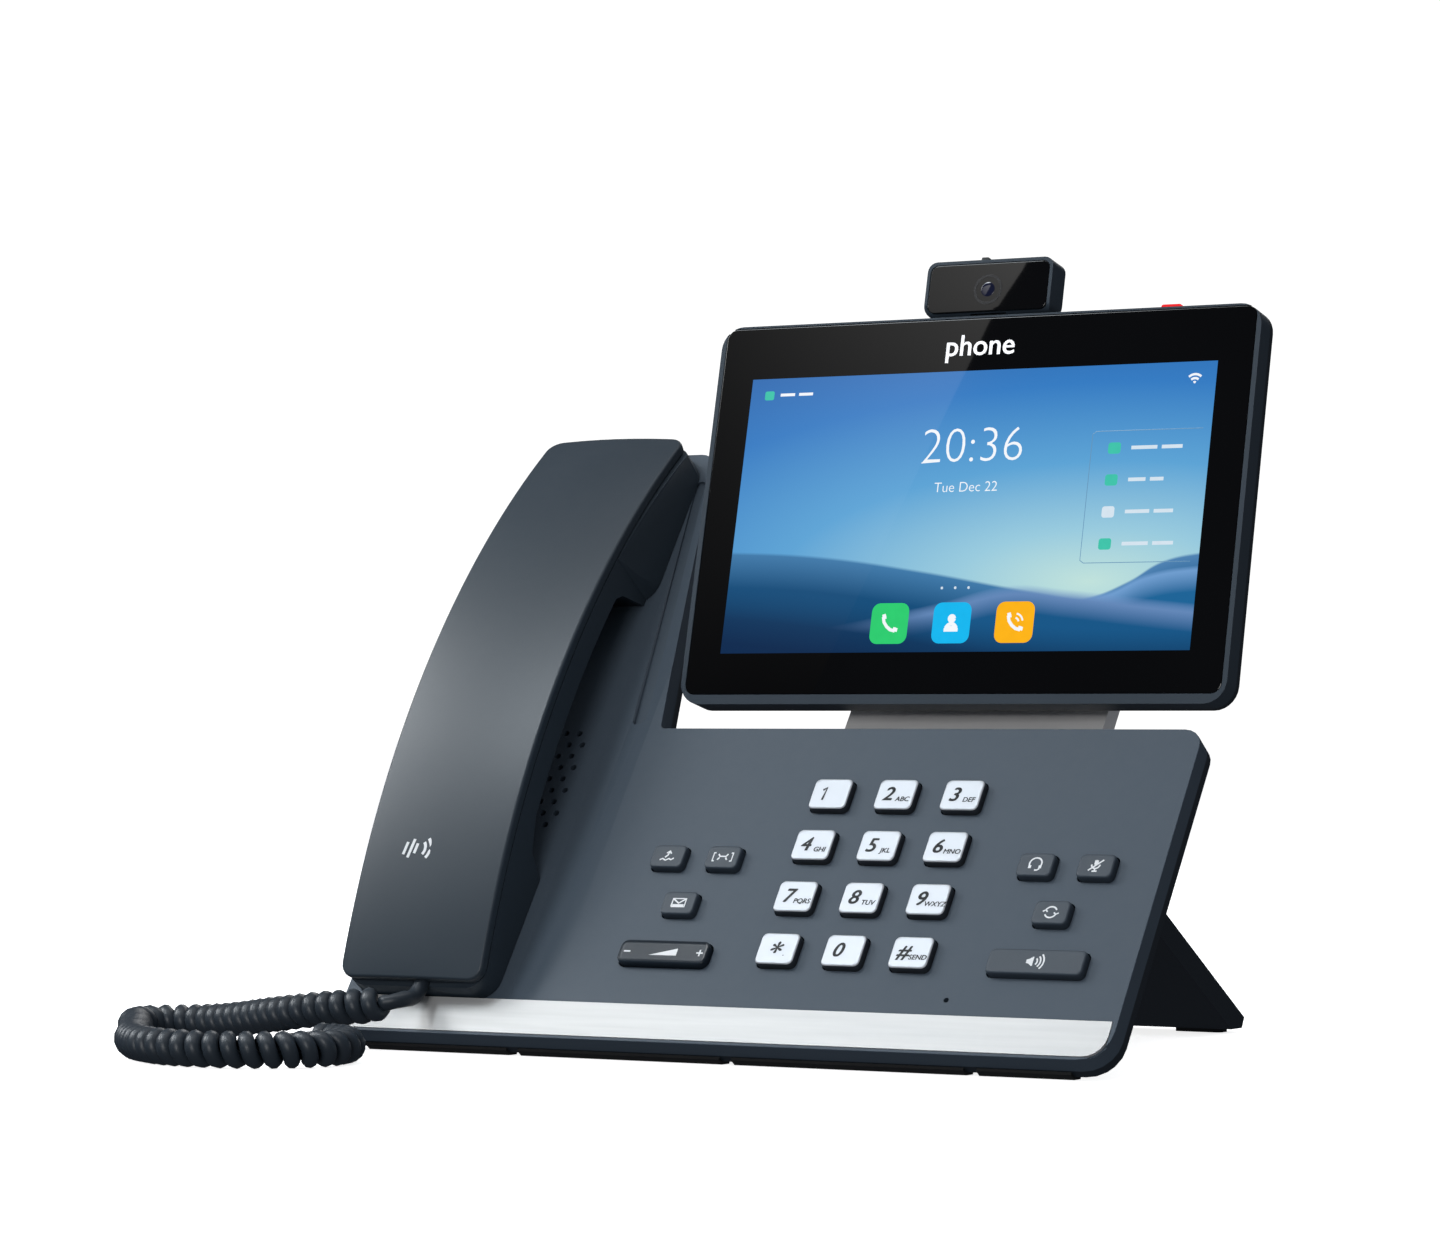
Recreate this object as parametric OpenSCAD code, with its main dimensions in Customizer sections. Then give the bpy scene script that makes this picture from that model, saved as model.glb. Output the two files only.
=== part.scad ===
// Desk video telephone: a leaning base with keypad, a tilting touch display with a plug-in camera,
// a corded handset in its cradle, and a kickstand behind.

/* [Base] */
// Lean of the keypad face from the desk, in degrees
slab_tilt = 54.3; // [53.5:0.1:55]
// Width of the base
base_w = 256.5; // [255:0.5:258]
// Height of the keypad half, up the slope
face_h = 110; // [109:0.5:112]
// Height of the handset column, up the slope
column_h = 218; // [216:1:220]
// Thickness of the base at its edges
slab_t = 11; // [10.8:0.1:11.4]
// Wall of the base covers
wall = 2; // [1.8:0.1:2.2]
// Depth of the cradle trough under the handset
trough_d = 2.5; // [2.2:0.1:2.6]

/* [Keys] */
// Width of a dial key
dial_w = 12.4; // [11.8:0.1:12.8]
// Height of a dial key
dial_h = 10.5; // [10:0.1:10.9]
// Sideways pitch of the dial keys
pitch_u = 21.5; // [21:0.1:22]
// Upward pitch of the dial keys
pitch_v = 17.9; // [17.4:0.1:18.2]
// How far a key stands above the face
key_rise = 2.2; // [1.8:0.1:2.4]
// Travel of a key
key_travel = 1.2; // [1:0.1:1.3]
// Gap between a key and its window, each side
key_gap = 0.4; // [0.35:0.05:0.5]

/* [Display] */
// Lean of the display from the desk, in degrees
display_tilt = 76.6; // [75:0.1:78]
// Width of the display casing
display_w = 179.2; // [178:0.1:180]
// Height of the display casing
display_h = 118.6; // [118:0.1:119.5]
// Depth of the display casing
display_t = 11.5; // [11:0.1:12]
// Lit width of the seven inch panel
lit_w = 154.2; // [153:0.1:155]
// Lit height of the seven inch panel
lit_h = 85.9; // [85:0.1:87]

/* [Camera] */
// Width of the camera
camera_w = 41.8; // [40:0.1:43]
// Height of the camera
camera_h = 17.2; // [16.5:0.1:18]
// Depth of the camera
camera_t = 8.6; // [8:0.1:9.4]

/* [Handset] */
// Width of the handset at its ends
handset_w = 50; // [48:0.5:51]
// Width of the ear cup at its foot
cup_w = 56; // [54:0.5:56.5]
// Lower end of the handset, up the slope
handset_low = 13.2; // [13:0.1:13.6]
// Upper end of the handset, up the slope
handset_high = 216.5; // [215:0.5:217]
// Radius of the arched back
arch_r = 311; // [305:1:320]
// Height of the arched back over the face
arch_top = 26; // [25:0.5:27]
// Thickness of the grip
grip_t = 12; // [11:0.5:13]

/* [Stand] */
// Width of the kickstand
stand_w = 154; // [150:1:156]
// Thickness of the kickstand plate
stand_t = 8.2; // [8:0.1:8.6]

/* [Cord] */
// Outer diameter of the coiled cord
curl_d = 10.6; // [10:0.1:11]
// Diameter of the cord itself
wire_d = 4.4; // [4:0.1:4.6]

/* [Hidden] */
DIAL = [["1", 0, 0], ["2", 1, 0], ["3", 2, 0], ["4", 0, 1], ["5", 1, 1], ["6", 2, 1],
        ["7", 0, 2], ["8", 1, 2], ["9", 2, 2], ["star", 0, 3], ["0", 1, 3], ["hash", 2, 3]];
// Function keys: name, place across, place up the slope, width, height
SIDE = [["transfer", -74.6, 62.4, 11, 7.9], ["conference", -56, 62.4, 11, 7.9],
        ["message", -65.3, 46.2, 11, 7.9], ["headset", 45.7, 61.8, 11, 7.9],
        ["mute", 64.4, 61.8, 11, 7.9], ["redial", 55, 46, 11, 7.9], ["speaker", 55, 29.7, 29.8, 8.2]];

// Colours
SLATE = "#2b3641";
SLATE_DARK = "#1f2831";

// Places across are measured from the middle of the display, and the base reaches this far left.
base_left = -172.5;
base_right = base_left + base_w;
// The origin is under the middle of the whole width and depth.
screen_x = -(base_left + display_w / 2) / 2;
// Height of the face's lower edge, which rests the rounded rear edge on the feet
face_z = 6.1;

// Depth of each layer behind the face
split_h = -6;
board_h = -7.5;
rear_h = -slab_t;
bump_h = -31;

// Column's slanting right edge, at the keypad face's top and at its own top
shoulder_u = -94.9;
column_u = -113.8;

// Cradle and handset centre line
cradle_u = -144;
arch_v = (handset_low + handset_high) / 2 + 0.5;
arch_h = arch_top - arch_r;

seam = 4.2;
cup_v = 158;
mouth_v = 56;
mouth_mid = 40;
rest_h = -trough_d + 0.3;
plug_u = -141;
plug_h = 4.8;
plug_v = 16;

// Dial pad's first key and the key flange
dial_u0 = -27.5;
dial_v0 = 85.2;
flange = 1.1;
strip_top = 12.6;
rocker_u = -64.8;
rocker_v = 29.3;
rocker_w = 29.8;
rocker_h = 8;

// Display: place of the lit area's centre, and of the casing relative to it
lit_y = 79.3;
lit_z = 159.6;
casing_low = -58.6;
casing_high = casing_low + display_h;
glass_w = 175.8;
glass_h = 114.7;
glass_mid = 1.85;
// Tilt axis of the display, in the slab's own directions
axis_v = 150.8;
axis_h = -4.7;
pin_d = 4;
pin_bore = 4.06;

// The same axis in the display's directions
dy = axis_v * cos(slab_tilt) - axis_h * sin(slab_tilt) - lit_y;
dz = face_z + axis_v * sin(slab_tilt) + axis_h * cos(slab_tilt) - lit_z;
lug_y = dy * cos(display_tilt) + dz * sin(display_tilt);
lug_z = -dy * sin(display_tilt) + dz * cos(display_tilt);

// Kickstand hinge in the slab's directions, and the lean of its plate from the desk
hinge_v = 103;
hinge_h = -17.8;
hinge_y = hinge_v * cos(slab_tilt) - hinge_h * sin(slab_tilt);
hinge_z = face_z + hinge_v * sin(slab_tilt) + hinge_h * cos(slab_tilt);
stand_mid = -44.5;
stand_lean = 30.8;
foot_t = 1.2;
// Plate's end, and where its two faces meet the top of the feet
stand_end = 153;
sole_inner = (hinge_z - foot_t - stand_t / 2 * cos(stand_lean)) / sin(stand_lean);
sole_end = (foot_t - hinge_z + stand_end * sin(stand_lean)) / cos(stand_lean);
ear_u = stand_w / 2 - 14;
// Front of the face, so that the origin is under the middle of the whole depth
face_y = -(hinge_y + stand_end * cos(stand_lean) + stand_t / 2 * sin(stand_lean)) / 2;

// Jacks on the rear, in the slab's directions
jack_v = 48;
net_u = -8;
cord_jack_u = -66;
power_u = 34;

// ---------- helpers ----------
function unit(a) = a / norm(a);
function wrap(a) = a > 180 ? a - 360 : a < -180 ? a + 360 : a;
function corner_arc(a, b, c, r, steps) =
    r <= 0 ? [b] :
    let (d1 = unit(a - b), d2 = unit(c - b), half = acos(d1 * d2) / 2,
         centre = b + unit(d1 + d2) * r / sin(half),
         p1 = b + d1 * r / tan(half) - centre, p2 = b + d2 * r / tan(half) - centre,
         start = atan2(p1[1], p1[0]), sweep = wrap(atan2(p2[1], p2[0]) - start))
    [for (i = [0:steps]) centre + r * [cos(start + sweep * i / steps), sin(start + sweep * i / steps)]];
// Outline through corner points [x, y, radius]
function rounded(pts, steps = 5) =
    let (n = len(pts))
    [for (i = [0:n - 1])
        for (p = corner_arc([pts[(i + n - 1) % n][0], pts[(i + n - 1) % n][1]],
                            [pts[i][0], pts[i][1]],
                            [pts[(i + 1) % n][0], pts[(i + 1) % n][1]], pts[i][2], steps)) p];
function box_points(w, h, r) =
    [[-w / 2, -h / 2, r], [w / 2, -h / 2, r], [w / 2, h / 2, r], [-w / 2, h / 2, r]];

// Upright rounded block, its base at z0
module block(w, h, r, z0, z1, steps = 5)
    translate([0, 0, z0]) linear_extrude(z1 - z0) polygon(rounded(box_points(w, h, r), steps));

// Slab directions: x across, y up the slope, z out of the face
module on_slab()
    translate([screen_x, face_y, face_z]) rotate([slab_tilt, 0, 0]) children();

// Display directions: x across, y up the glass, z out of the glass
module on_display()
    translate([screen_x, face_y + lit_y, lit_z]) rotate([display_tilt, 0, 0]) children();

// L-shaped outline of the base, drawn in by a margin
function slab_points(m, r) =
    [[base_left + m, m, max(r - m, 1)], [base_right - m, m, max(r + 3.5 - m, 1)],
     [base_right - m, face_h - m, max(r - m, 1)], [shoulder_u - m * 1.2, face_h - m, 1.5 + m],
     [column_u - m * 1.2, column_h - m, max(r - m, 1)], [base_left + m, column_h - m, max(r - m, 1)]];
module slab_prism(m, z0, z1)
    translate([0, 0, z0]) linear_extrude(z1 - z0) polygon(rounded(slab_points(m, 6)));

// A profile drawn in the slab's up-slope and outward directions, swept across from u0 to u1
module across(u0, u1)
    translate([u0, 0, 0]) rotate([90, 0, 90]) linear_extrude(u1 - u0) children();

// ---------- base ----------
module trough()
    translate([0, strip_top, 0]) rotate([90, 0, 0]) mirror([0, 0, 1])
        linear_extrude(column_h - strip_top + 1)
            polygon([[base_left - 1, 1], [base_left - 1, -trough_d], [-114.5, -trough_d],
                     [-107, -trough_d * 0.6], [-99, 0], [-99, 1]]);

module windows() {
    for (k = DIAL)
        translate([dial_u0 + k[1] * pitch_u, dial_v0 - k[2] * pitch_v, 0])
            block(dial_w + 2 * key_gap, dial_h + 2 * key_gap, 2, -3, 1);
    for (k = SIDE)
        translate([k[1], k[2], 0]) block(k[3] + 2 * key_gap, k[4] + 2 * key_gap, 1.8, -3, 1);
    translate([rocker_u, rocker_v, 0])
        block(rocker_w + 2 * key_gap, rocker_h + 2 * key_gap, 2.6, -3, 1);
}

module grille()
    for (i = [0:8])
        for (j = [0:8])
            translate([cradle_u + (j - 4) * 4.8 + (i % 2) * 2.4, 76 + i * 4.2, -6])
                cylinder(h = 6, d = 2, $fn = 16);

module base_front_cover()
    color(SLATE) on_slab() difference() {
        slab_prism(0, split_h, 0);
        // hollows behind the keypad and the cradle, around the screws' posts
        difference() {
            union() {
                translate([(shoulder_u + base_right) / 2 + 2, face_h / 2, 0])
                    block(base_right - shoulder_u - 10, face_h - 2 * wall, 4, split_h - 1, -2.2);
                slab_prism(wall, split_h - 1, -4.7);
            }
            screw_places() translate([0, 0, split_h]) cylinder(h = 5, d = 6, $fn = 32);
        }
        screw_places() translate([0, 0, split_h - 1]) cylinder(h = 4, d = 2.5, $fn = 24);
        trough();
        windows();
        grille();
        // seat of the bright strip
        translate([(base_left + base_right) / 2, strip_top / 2 + 0.5, 0])
            block(base_w - 3, strip_top - 1, 0, -0.8, 1);
        // long finger groove beside the ear cup
        translate([0, 0, -3.4]) linear_extrude(4.4)
            polygon(rounded([[-106.8, 112, 2.6], [-101.2, 112, 2.6], [-113.4, 207, 1.6],
                             [-116.8, 207, 1.6]]));
        // way through for the hook plunger
        translate([cradle_u, 190, -8]) cylinder(h = 9, d = 7.2, $fn = 32);
        // pocket of the cradle tab
        translate([cradle_u, 154, -8]) block(14.2, 3.2, 0, 0, 9);
        // microphone hole in the face
        translate([30, 17.5, -4]) cylinder(h = 5, d = 1.6, $fn = 20);
    }

module rear_openings() {
    translate([net_u, jack_v, 0]) block(34, 14.8, 0.6, bump_h - 1, bump_h + 3);
    translate([cord_jack_u, jack_v, 0]) block(24, 12.2, 0.6, bump_h - 1, bump_h + 3);
    translate([power_u, jack_v, 0]) block(11, 11, 0.6, bump_h - 1, bump_h + 3);
    for (i = [-4:4])
        translate([-18 + i * 6, 72, 0]) block(2.2, 12, 1, bump_h - 1, bump_h + 3);
}

module screw_places()
    for (p = [[-160, 20], [-160, 206], [-124, 206], [78.4, 14], [78.4, 97], [-90, 14]])
        translate([p[0], p[1], 0]) children();

module base_rear_cover() {
    color(SLATE_DARK) on_slab() difference() {
        union() {
            slab_prism(0, rear_h + 2, split_h);
            slab_prism(1.6, rear_h, rear_h + 2);
            translate([-18, 54, 0]) block(134, 60, 6, bump_h, rear_h + 1);
            // hinge lugs of the kickstand
            for (u = [stand_mid - ear_u, stand_mid + ear_u])
                across(u - 4, u + 4) polygon(rounded([[hinge_v - 7, rear_h + 1, 0],
                    [hinge_v - 4.6, hinge_h - 4.6, 3.6], [hinge_v + 4.6, hinge_h - 4.6, 3.6],
                    [hinge_v + 6.5, rear_h + 1, 0]], 6));
        }
        slab_prism(wall, rear_h + wall, split_h + 1);
        translate([-18, 54, 0]) block(130, 56, 4, bump_h + wall, rear_h + wall + 1);
        rear_openings();
        translate([stand_mid - stand_w, hinge_v, hinge_h]) rotate([0, 90, 0])
            cylinder(h = 2 * stand_w, d = 3.1, $fn = 32);
        screw_places() translate([0, 0, rear_h - 1]) cylinder(h = 6, d = 3.2, $fn = 24);
        screw_places() translate([0, 0, rear_h - 1]) cylinder(h = 2.2, d = 6, $fn = 28);
    }
}

module trim_strip()
    color("#e4e6e8") on_slab()
        translate([(base_left + base_right) / 2, strip_top / 2 + 0.5, -0.8]) linear_extrude(0.9)
                polygon(rounded([[-base_w / 2 + 1.6, -5.7, 2], [base_w / 2 - 1.6, -5.7, 6.5],
                                 [base_w / 2 - 1.6, 5.7, 0.4], [-base_w / 2 + 1.6, 5.7, 0.4]]));

module keypad_mat()
    color("#8b9096") on_slab() {
        translate([-5, 54, 0]) block(154, 78, 3, split_h + 0.1, split_h + 0.6);
        for (k = DIAL)
            translate([dial_u0 + k[1] * pitch_u, dial_v0 - k[2] * pitch_v, split_h + 0.5])
                cylinder(h = 0.4, d = 5, $fn = 24);
        for (k = SIDE)
            translate([k[1], k[2], split_h + 0.5]) cylinder(h = 0.4, d = 5, $fn = 24);
        for (s = [-1, 1])
            translate([rocker_u + s * 9, rocker_v, split_h + 0.5]) cylinder(h = 0.4, d = 5, $fn = 24);
    }

module keypad_board()
    color("#1f5a3c") on_slab() translate([-5, 54, 0]) block(160, 86, 2, board_h, split_h);

module main_board()
    color("#1f5a3c") on_slab() {
        translate([-18, 54, 0]) block(126, 52, 2, -12.6, -11);
        translate([-30, 68, 0]) block(16, 16, 0.5, -14.2, -12.5);
        translate([8, 70, 0]) block(10, 12, 0.5, -14.2, -12.5);
    }

module loudspeaker()
    color("#2a2a2c") on_slab() translate([cradle_u, 93, 0]) {
        translate([0, 0, -8.8]) difference() {
            cylinder(h = 3.6, d = 40, $fn = 64);
            translate([0, 0, 2.2]) cylinder(h = 2, d = 34, $fn = 64);
        }
        translate([0, 0, -6.8]) cylinder(h = 0.9, d = 12, $fn = 40);
    }

module network_jacks()
    color("#c9ccce") on_slab() translate([net_u, jack_v, 0]) difference() {
        block(33.2, 14, 0.4, bump_h + 0.2, -12.6);
        for (s = [-1, 1])
            translate([s * 8.2, 0, 0]) block(12, 8.6, 0, bump_h - 1, bump_h + 13);
    }

module cord_jacks()
    color("#22262b") on_slab() translate([cord_jack_u, jack_v, 0]) difference() {
        block(23.2, 11.4, 0.4, bump_h + 0.2, -12.6);
        for (s = [-1, 1])
            translate([s * 5.8, 0, 0]) block(8, 7, 0, bump_h - 1, bump_h + 11);
    }

module power_jack()
    color("#191b1e") on_slab() translate([power_u, jack_v, 0]) {
        difference() {
            block(10.2, 10.2, 0.4, bump_h + 0.2, -12.6);
            translate([0, 0, bump_h - 1]) cylinder(h = 11, d = 6.4, $fn = 36);
        }
        translate([0, 0, bump_h + 1]) cylinder(h = 10, d = 2, $fn = 24);
    }

module neck_bracket()
    color("#b9bcbf") on_slab() difference() {
        union() {
            across(2.6 - 42.5, 2.6 + 42.5)
                polygon([[84.2, rear_h], [84.2, rear_h - 2.4], [109, rear_h - 2.4], [112, rear_h - 7.6],
                         [132, rear_h - 7.6], [136, rear_h - 5.2], [147, axis_h - 2.5],
                         [axis_v - 1, axis_h + 1.5], [131, -12.4], [111.5, -12.2], [110.4, rear_h]]);
            across(-20, 25.2) translate([axis_v, axis_h]) circle(r = 5.5, $fn = 48);
        }
        across(-60, 60) translate([axis_v, axis_h]) circle(d = pin_bore, $fn = 48);
        // room for the lugs of the display, and for one of the kickstand's
        for (u = [[-50, -20], [25.2, 50]])
            across(u[0], u[1]) translate([axis_v, axis_h]) circle(r = 12, $fn = 48);
        across(stand_mid + ear_u - 4.4, stand_mid + ear_u + 4.4)
            translate([hinge_v - 8, rear_h - 8]) square([15.2, 12]);
    }

module tilt_pin()
    color("#9da1a5") on_slab() across(-31.6, 36.8) translate([axis_v, axis_h]) circle(d = pin_d, $fn = 48);

module base_feet()
    color("#17191b") on_slab()
        for (ends = [[base_left + 11, -112], [-108, -40], [-36, 38], [42, base_right - 13]])
            across(ends[0], ends[1])
                polygon([[0, -6.6], [0, rear_h + 2], [1.6, rear_h + 2], [1.6, rear_h], [5, rear_h],
                         [5, rear_h - 0.9], [1.4, desk_h(1.4)], [-0.9, desk_h(-0.9)], [-0.9, -6.6]]);
// How far out of the face the desk is, at a place up the slope
function desk_h(v) = -(face_z + v * sin(slab_tilt)) / cos(slab_tilt);

module case_screws()
    color("#a6a9ac") on_slab() screw_places() {
        translate([0, 0, rear_h - 0.6]) difference() {
            cylinder(h = 1.7, d = 5.4, $fn = 32);
            translate([0, 0, -1]) block(3.4, 0.8, 0, 0, 1.8);
            translate([0, 0, -1]) block(0.8, 3.4, 0, 0, 1.8);
        }
        translate([0, 0, rear_h + 1]) cylinder(h = 6.8, d = 2.6, $fn = 24);
    }

module cradle_tab()
    color(SLATE) on_slab() across(cradle_u - 6.9, cradle_u + 6.9)
        polygon([[152.6, -5.4], [155.4, -5.4], [155.4, 2.4], [154.2, 3.4], [152.6, 1]]);

module hook_plunger()
    color("#20262c") on_slab() translate([cradle_u, 190, 0]) {
        translate([0, 0, -7.2]) cylinder(h = 4.1, d = 6.4, $fn = 40);
        translate([0, 0, -3.1]) cylinder(h = 3.1 - trough_d, d1 = 6.4, d2 = 5, $fn = 40);
        translate([0, 0, -8.2]) cylinder(h = 1.1, d = 8.6, $fn = 40);
    }

// ---------- keys ----------
// A key with its cap, guiding flange and nib, centred where the key stands
module key_body(w, h, r) {
    block(w, h, r, -2.8, key_rise - 0.5);
    translate([0, 0, key_rise - 0.5]) linear_extrude(0.5)
        polygon(rounded(box_points(w - 0.7, h - 0.7, max(r - 0.3, 0.4))));
    block(w + 2 * flange, h + 2 * flange, r, -3.6, -2.7);
}
module dial_key(i)
    color("#e8ebee") on_slab()
        translate([dial_u0 + DIAL[i][1] * pitch_u, dial_v0 - DIAL[i][2] * pitch_v, 0])
            key_body(dial_w, dial_h, 1.7);
module side_key(i)
    color(SLATE_DARK) on_slab() translate([SIDE[i][1], SIDE[i][2], 0])
        key_body(SIDE[i][3], SIDE[i][4], 1.5);

module volume_rocker()
    color("#1b2229") on_slab() translate([rocker_u, rocker_v, 0]) {
        block(rocker_w, rocker_h, 2.3, -3.4, key_rise - 0.6);
        translate([0, 0, key_rise - 0.6]) linear_extrude(0.5)
            polygon(rounded(box_points(rocker_w - 0.8, rocker_h - 0.8, 2)));
        for (s = [-1, 1])
            translate([s * (rocker_w / 2 - 2.4), 0, 0]) block(4, rocker_h + 2.4, 1, -3.9, -3.3);
    }

// ---------- display ----------
module casing_prism(m, z0, z1, r = 7)
    translate([0, (casing_low + casing_high) / 2, 0])
        block(display_w - 2 * m, display_h - 2 * m, r, z0, z1, 7);

module display_frame()
    color(SLATE) on_display() difference() {
        casing_prism(0, -6.5, 0);
        translate([0, glass_mid, 0]) block(glass_w + 0.3, glass_h + 0.3, 3.2, -1.25, 1);
        translate([0, glass_mid, 0]) block(glass_w - 4, glass_h - 4, 2, -8, 1);
        // window of the message light
        translate([59.6, casing_high, -3.2]) block(7, 8, 0, -1.3, 1.3);
    }

module display_glass()
    color("#050607") on_display() translate([0, glass_mid, 0]) block(glass_w, glass_h, 3, -1.2, 0);

module lcd_panel()
    color("#2f6db8") on_display() {
        block(lit_w + 5, lit_h + 6, 1, -4.2, -1.2);
    }

module display_board()
    color("#1f5a3c") on_display() {
        block(120, 70, 2, -7.4, -6);
        translate([20, 8, 0]) block(18, 18, 0.5, -8.8, -7.3);
    }

module display_rear_cover()
    color(SLATE_DARK) on_display() difference() {
        union() {
            casing_prism(0, -8.6, -6.5);
            casing_prism(1.5, -display_t, -8.5, 6);
            // lugs on both sides of the neck's barrel
            for (s = [[-31, -20.6], [25.8, 36.2]])
                translate([s[0], 0, 0]) rotate([90, 0, 90]) linear_extrude(s[1] - s[0])
                    polygon(rounded([[lug_y - 9.5, -display_t + 0.5, 0], [lug_y - 6, lug_z - 6, 5.2],
                                     [lug_y + 6, lug_z - 6, 5.2], [lug_y + 9.5, -display_t + 0.5, 0]], 7));
        }
        casing_prism(2, -9.5, -5);
        translate([-60, lug_y, lug_z]) rotate([0, 90, 0]) cylinder(h = 120, d = pin_bore, $fn = 48);
        for (i = [-7:7])
            translate([i * 5, 34, 0]) block(1.8, 14, 0.9, -display_t - 1, -9);
    }

module message_light()
    color("#e0202a") on_display() translate([59.6, casing_high - 0.6, -3]) block(6.4, 4, 0.6, -1, 1);

// ---------- camera ----------
cam_x = -0.4;
cam_y = casing_high + 0.5 + camera_h / 2;
cam_z = -0.6 - camera_t / 2;
// The camera tilts on a trunnion close to its lower edge
trunnion_y = casing_high + 0.5 + camera_t / 2;

module camera_plug()
    color("#24303a") on_display() translate([cam_x, 0, cam_z]) {
        translate([0, casing_high + 2.3, 0]) block(11, 4.6, 0.4, -1.6, 0.7);
        translate([-9, trunnion_y, 0]) rotate([0, 90, 0]) cylinder(h = 18, d = 3, $fn = 40);
    }

module camera_body_outline(m)
    polygon(rounded(box_points(camera_w - 2 * m, camera_h - 2 * m, 3 - m / 2)));

module camera_housing()
    color(SLATE) on_display() translate([cam_x, cam_y, 0]) difference() {
        intersection() {
            translate([0, 0, cam_z - camera_t / 2]) linear_extrude(camera_t) camera_body_outline(0);
            // rounded foot round the trunnion
            translate([-camera_w, trunnion_y - cam_y, cam_z]) rotate([0, 90, 0])
                linear_extrude(2 * camera_w) union() {
                    circle(d = camera_t, $fn = 64);
                    translate([-camera_t / 2, 0]) square([camera_t, camera_h]);
                }
        }
        // seat of the window and hollow for the lens
        translate([0, 0, cam_z + camera_t / 2 - 1]) linear_extrude(2) camera_body_outline(1);
        translate([0, -0.7, cam_z + 1.7]) cylinder(h = camera_t, d = 9.4, $fn = 48);
        // bay of the plug and bore of the trunnion
        translate([0, -camera_h / 2 + 2.2, 0]) block(11.8, 8.4, 0, cam_z - 8, cam_z + camera_t / 2 - 1.6);
        translate([-9.3, trunnion_y - cam_y, cam_z]) rotate([0, 90, 0])
            cylinder(h = 18.6, d = 3.1, $fn = 40);
        // slot of the shutter slider
        translate([-4.4, camera_h / 2, 0]) block(9, 3.4, 0, cam_z + 1, cam_z + 2.6);
    }

module camera_window()
    color("#070809") on_display() translate([cam_x, cam_y, 0])
        translate([0, 0, cam_z + camera_t / 2 - 0.9]) linear_extrude(0.8) camera_body_outline(1.15);

module camera_lens()
    color("#10131c") on_display() translate([cam_x, cam_y - 0.7, 0]) {
        translate([0, 0, cam_z + 1.8]) cylinder(h = 1.4, d = 9, $fn = 48);
    }

module shutter_slider()
    color("#14181c") on_display() translate([cam_x - 2.9, cam_y + camera_h / 2, 0]) {
        block(2.4, 2.8, 0.3, cam_z + 1.1, cam_z + 2.5);
        translate([0, -0.75, 0]) block(5, 0.7, 0.2, cam_z + 1.1, cam_z + 2.5);
    }

// ---------- kickstand ----------
// Stand directions: x across, y down the plate, z out of its upper face
module stand_frame()
    translate([screen_x + stand_mid, face_y + hinge_y, hinge_z]) rotate([-stand_lean, 0, 0]) children();

module kickstand()
    color(SLATE_DARK) stand_frame() difference() {
        union() {
            // plate, its foot cut level with the desk
            across(-stand_w / 2, stand_w / 2)
                polygon([[6, -stand_t / 2], [sole_inner, -stand_t / 2], [stand_end, sole_end],
                         [stand_end, stand_t / 2], [6, stand_t / 2]]);
            // an ear on each side of each lug
            for (s = [-1, 1])
                for (u = [-10, 4.6])
                    across(s * ear_u + u, s * ear_u + u + 5.4) {
                        circle(d = stand_t, $fn = 48);
                        translate([0, -stand_t / 2]) square([10, stand_t]);
                    }
        }
        across(-stand_w, stand_w) circle(d = 3.1, $fn = 32);
        // room for the lugs of the base
        for (s = [-1, 1])
            across(s * ear_u - 4.6, s * ear_u + 4.6) translate([-6, -10]) square([17, 20]);
        // broad cable opening
        translate([0, 70, 0]) block(96, 80, 8, -10, 10);
        // space for the neck behind the slab
        translate([0, 8, 0]) block(100, 24, 4, -10, 10);
    }

module stand_pins()
    color("#9da1a5") stand_frame()
        for (s = [-1, 1])
            across(s * ear_u - 9.6, s * ear_u + 9.6) circle(d = 3, $fn = 32);

module stand_feet()
    color("#17191b") translate([screen_x + stand_mid, face_y, 0])
        for (s = [-1, 1])
            translate([s * (stand_w / 2 - 12), hinge_y + (sole_inner + stand_end) / 2 * cos(stand_lean)
                       - 1, 0]) block(16, 6.6, 2, 0, foot_t);

// ---------- handset ----------
// Points along the arched back, set in by a depth, from one place up the slope to another
function arch_points(depth, v0, v1, n = 24) =
    [for (i = [0:n]) let (v = v0 + (v1 - v0) * i / n)
        [v, arch_h + sqrt(pow(arch_r - depth, 2) - pow(v - arch_v, 2))]];
function reversed(a) = [for (i = [len(a) - 1:-1:0]) a[i]];

module handset_plan(w_grip, m, r)
    translate([cradle_u, (handset_low + handset_high) / 2, -10]) linear_extrude(60)
        polygon(rounded(box_points(w_grip - 2 * m, handset_high - handset_low - 2 * m, r), 6));

module handset_outer_shell()
    color(SLATE) on_slab() difference() {
        intersection() {
            union() {
                handset_plan(handset_w - 3, 2.5, 5);
                intersection() {
                    handset_plan(handset_w, 0, 7);
                    across(cradle_u - 40, cradle_u + 40)
                        polygon(concat(arch_points(2.4, 0, 230), [[230, -20], [0, -20]]));
                }
            }
            across(cradle_u - 40, cradle_u + 40)
                polygon(concat(arch_points(0, 8, 222), reversed(arch_points(seam, 8, 222))));
        }
        // hollow underside
        intersection() {
            handset_plan(handset_w, 5.5, 4);
            across(cradle_u - 40, cradle_u + 40)
                polygon(concat(arch_points(2, 8, 222), reversed(arch_points(9, 8, 222))));
        }
        plug_pocket();
    }

module inner_profile()
    polygon(concat(arch_points(seam + 0.05, handset_low - 4, handset_high + 4),
        [[handset_high + 4, rest_h], [cup_v, rest_h], [cup_v - 5, 9.5]],
        reversed(arch_points(grip_t, mouth_v + 14, cup_v - 8, 12)),
        [[mouth_v + 4, 6], [mouth_v, rest_h], [handset_low - 4, rest_h]]));

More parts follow.
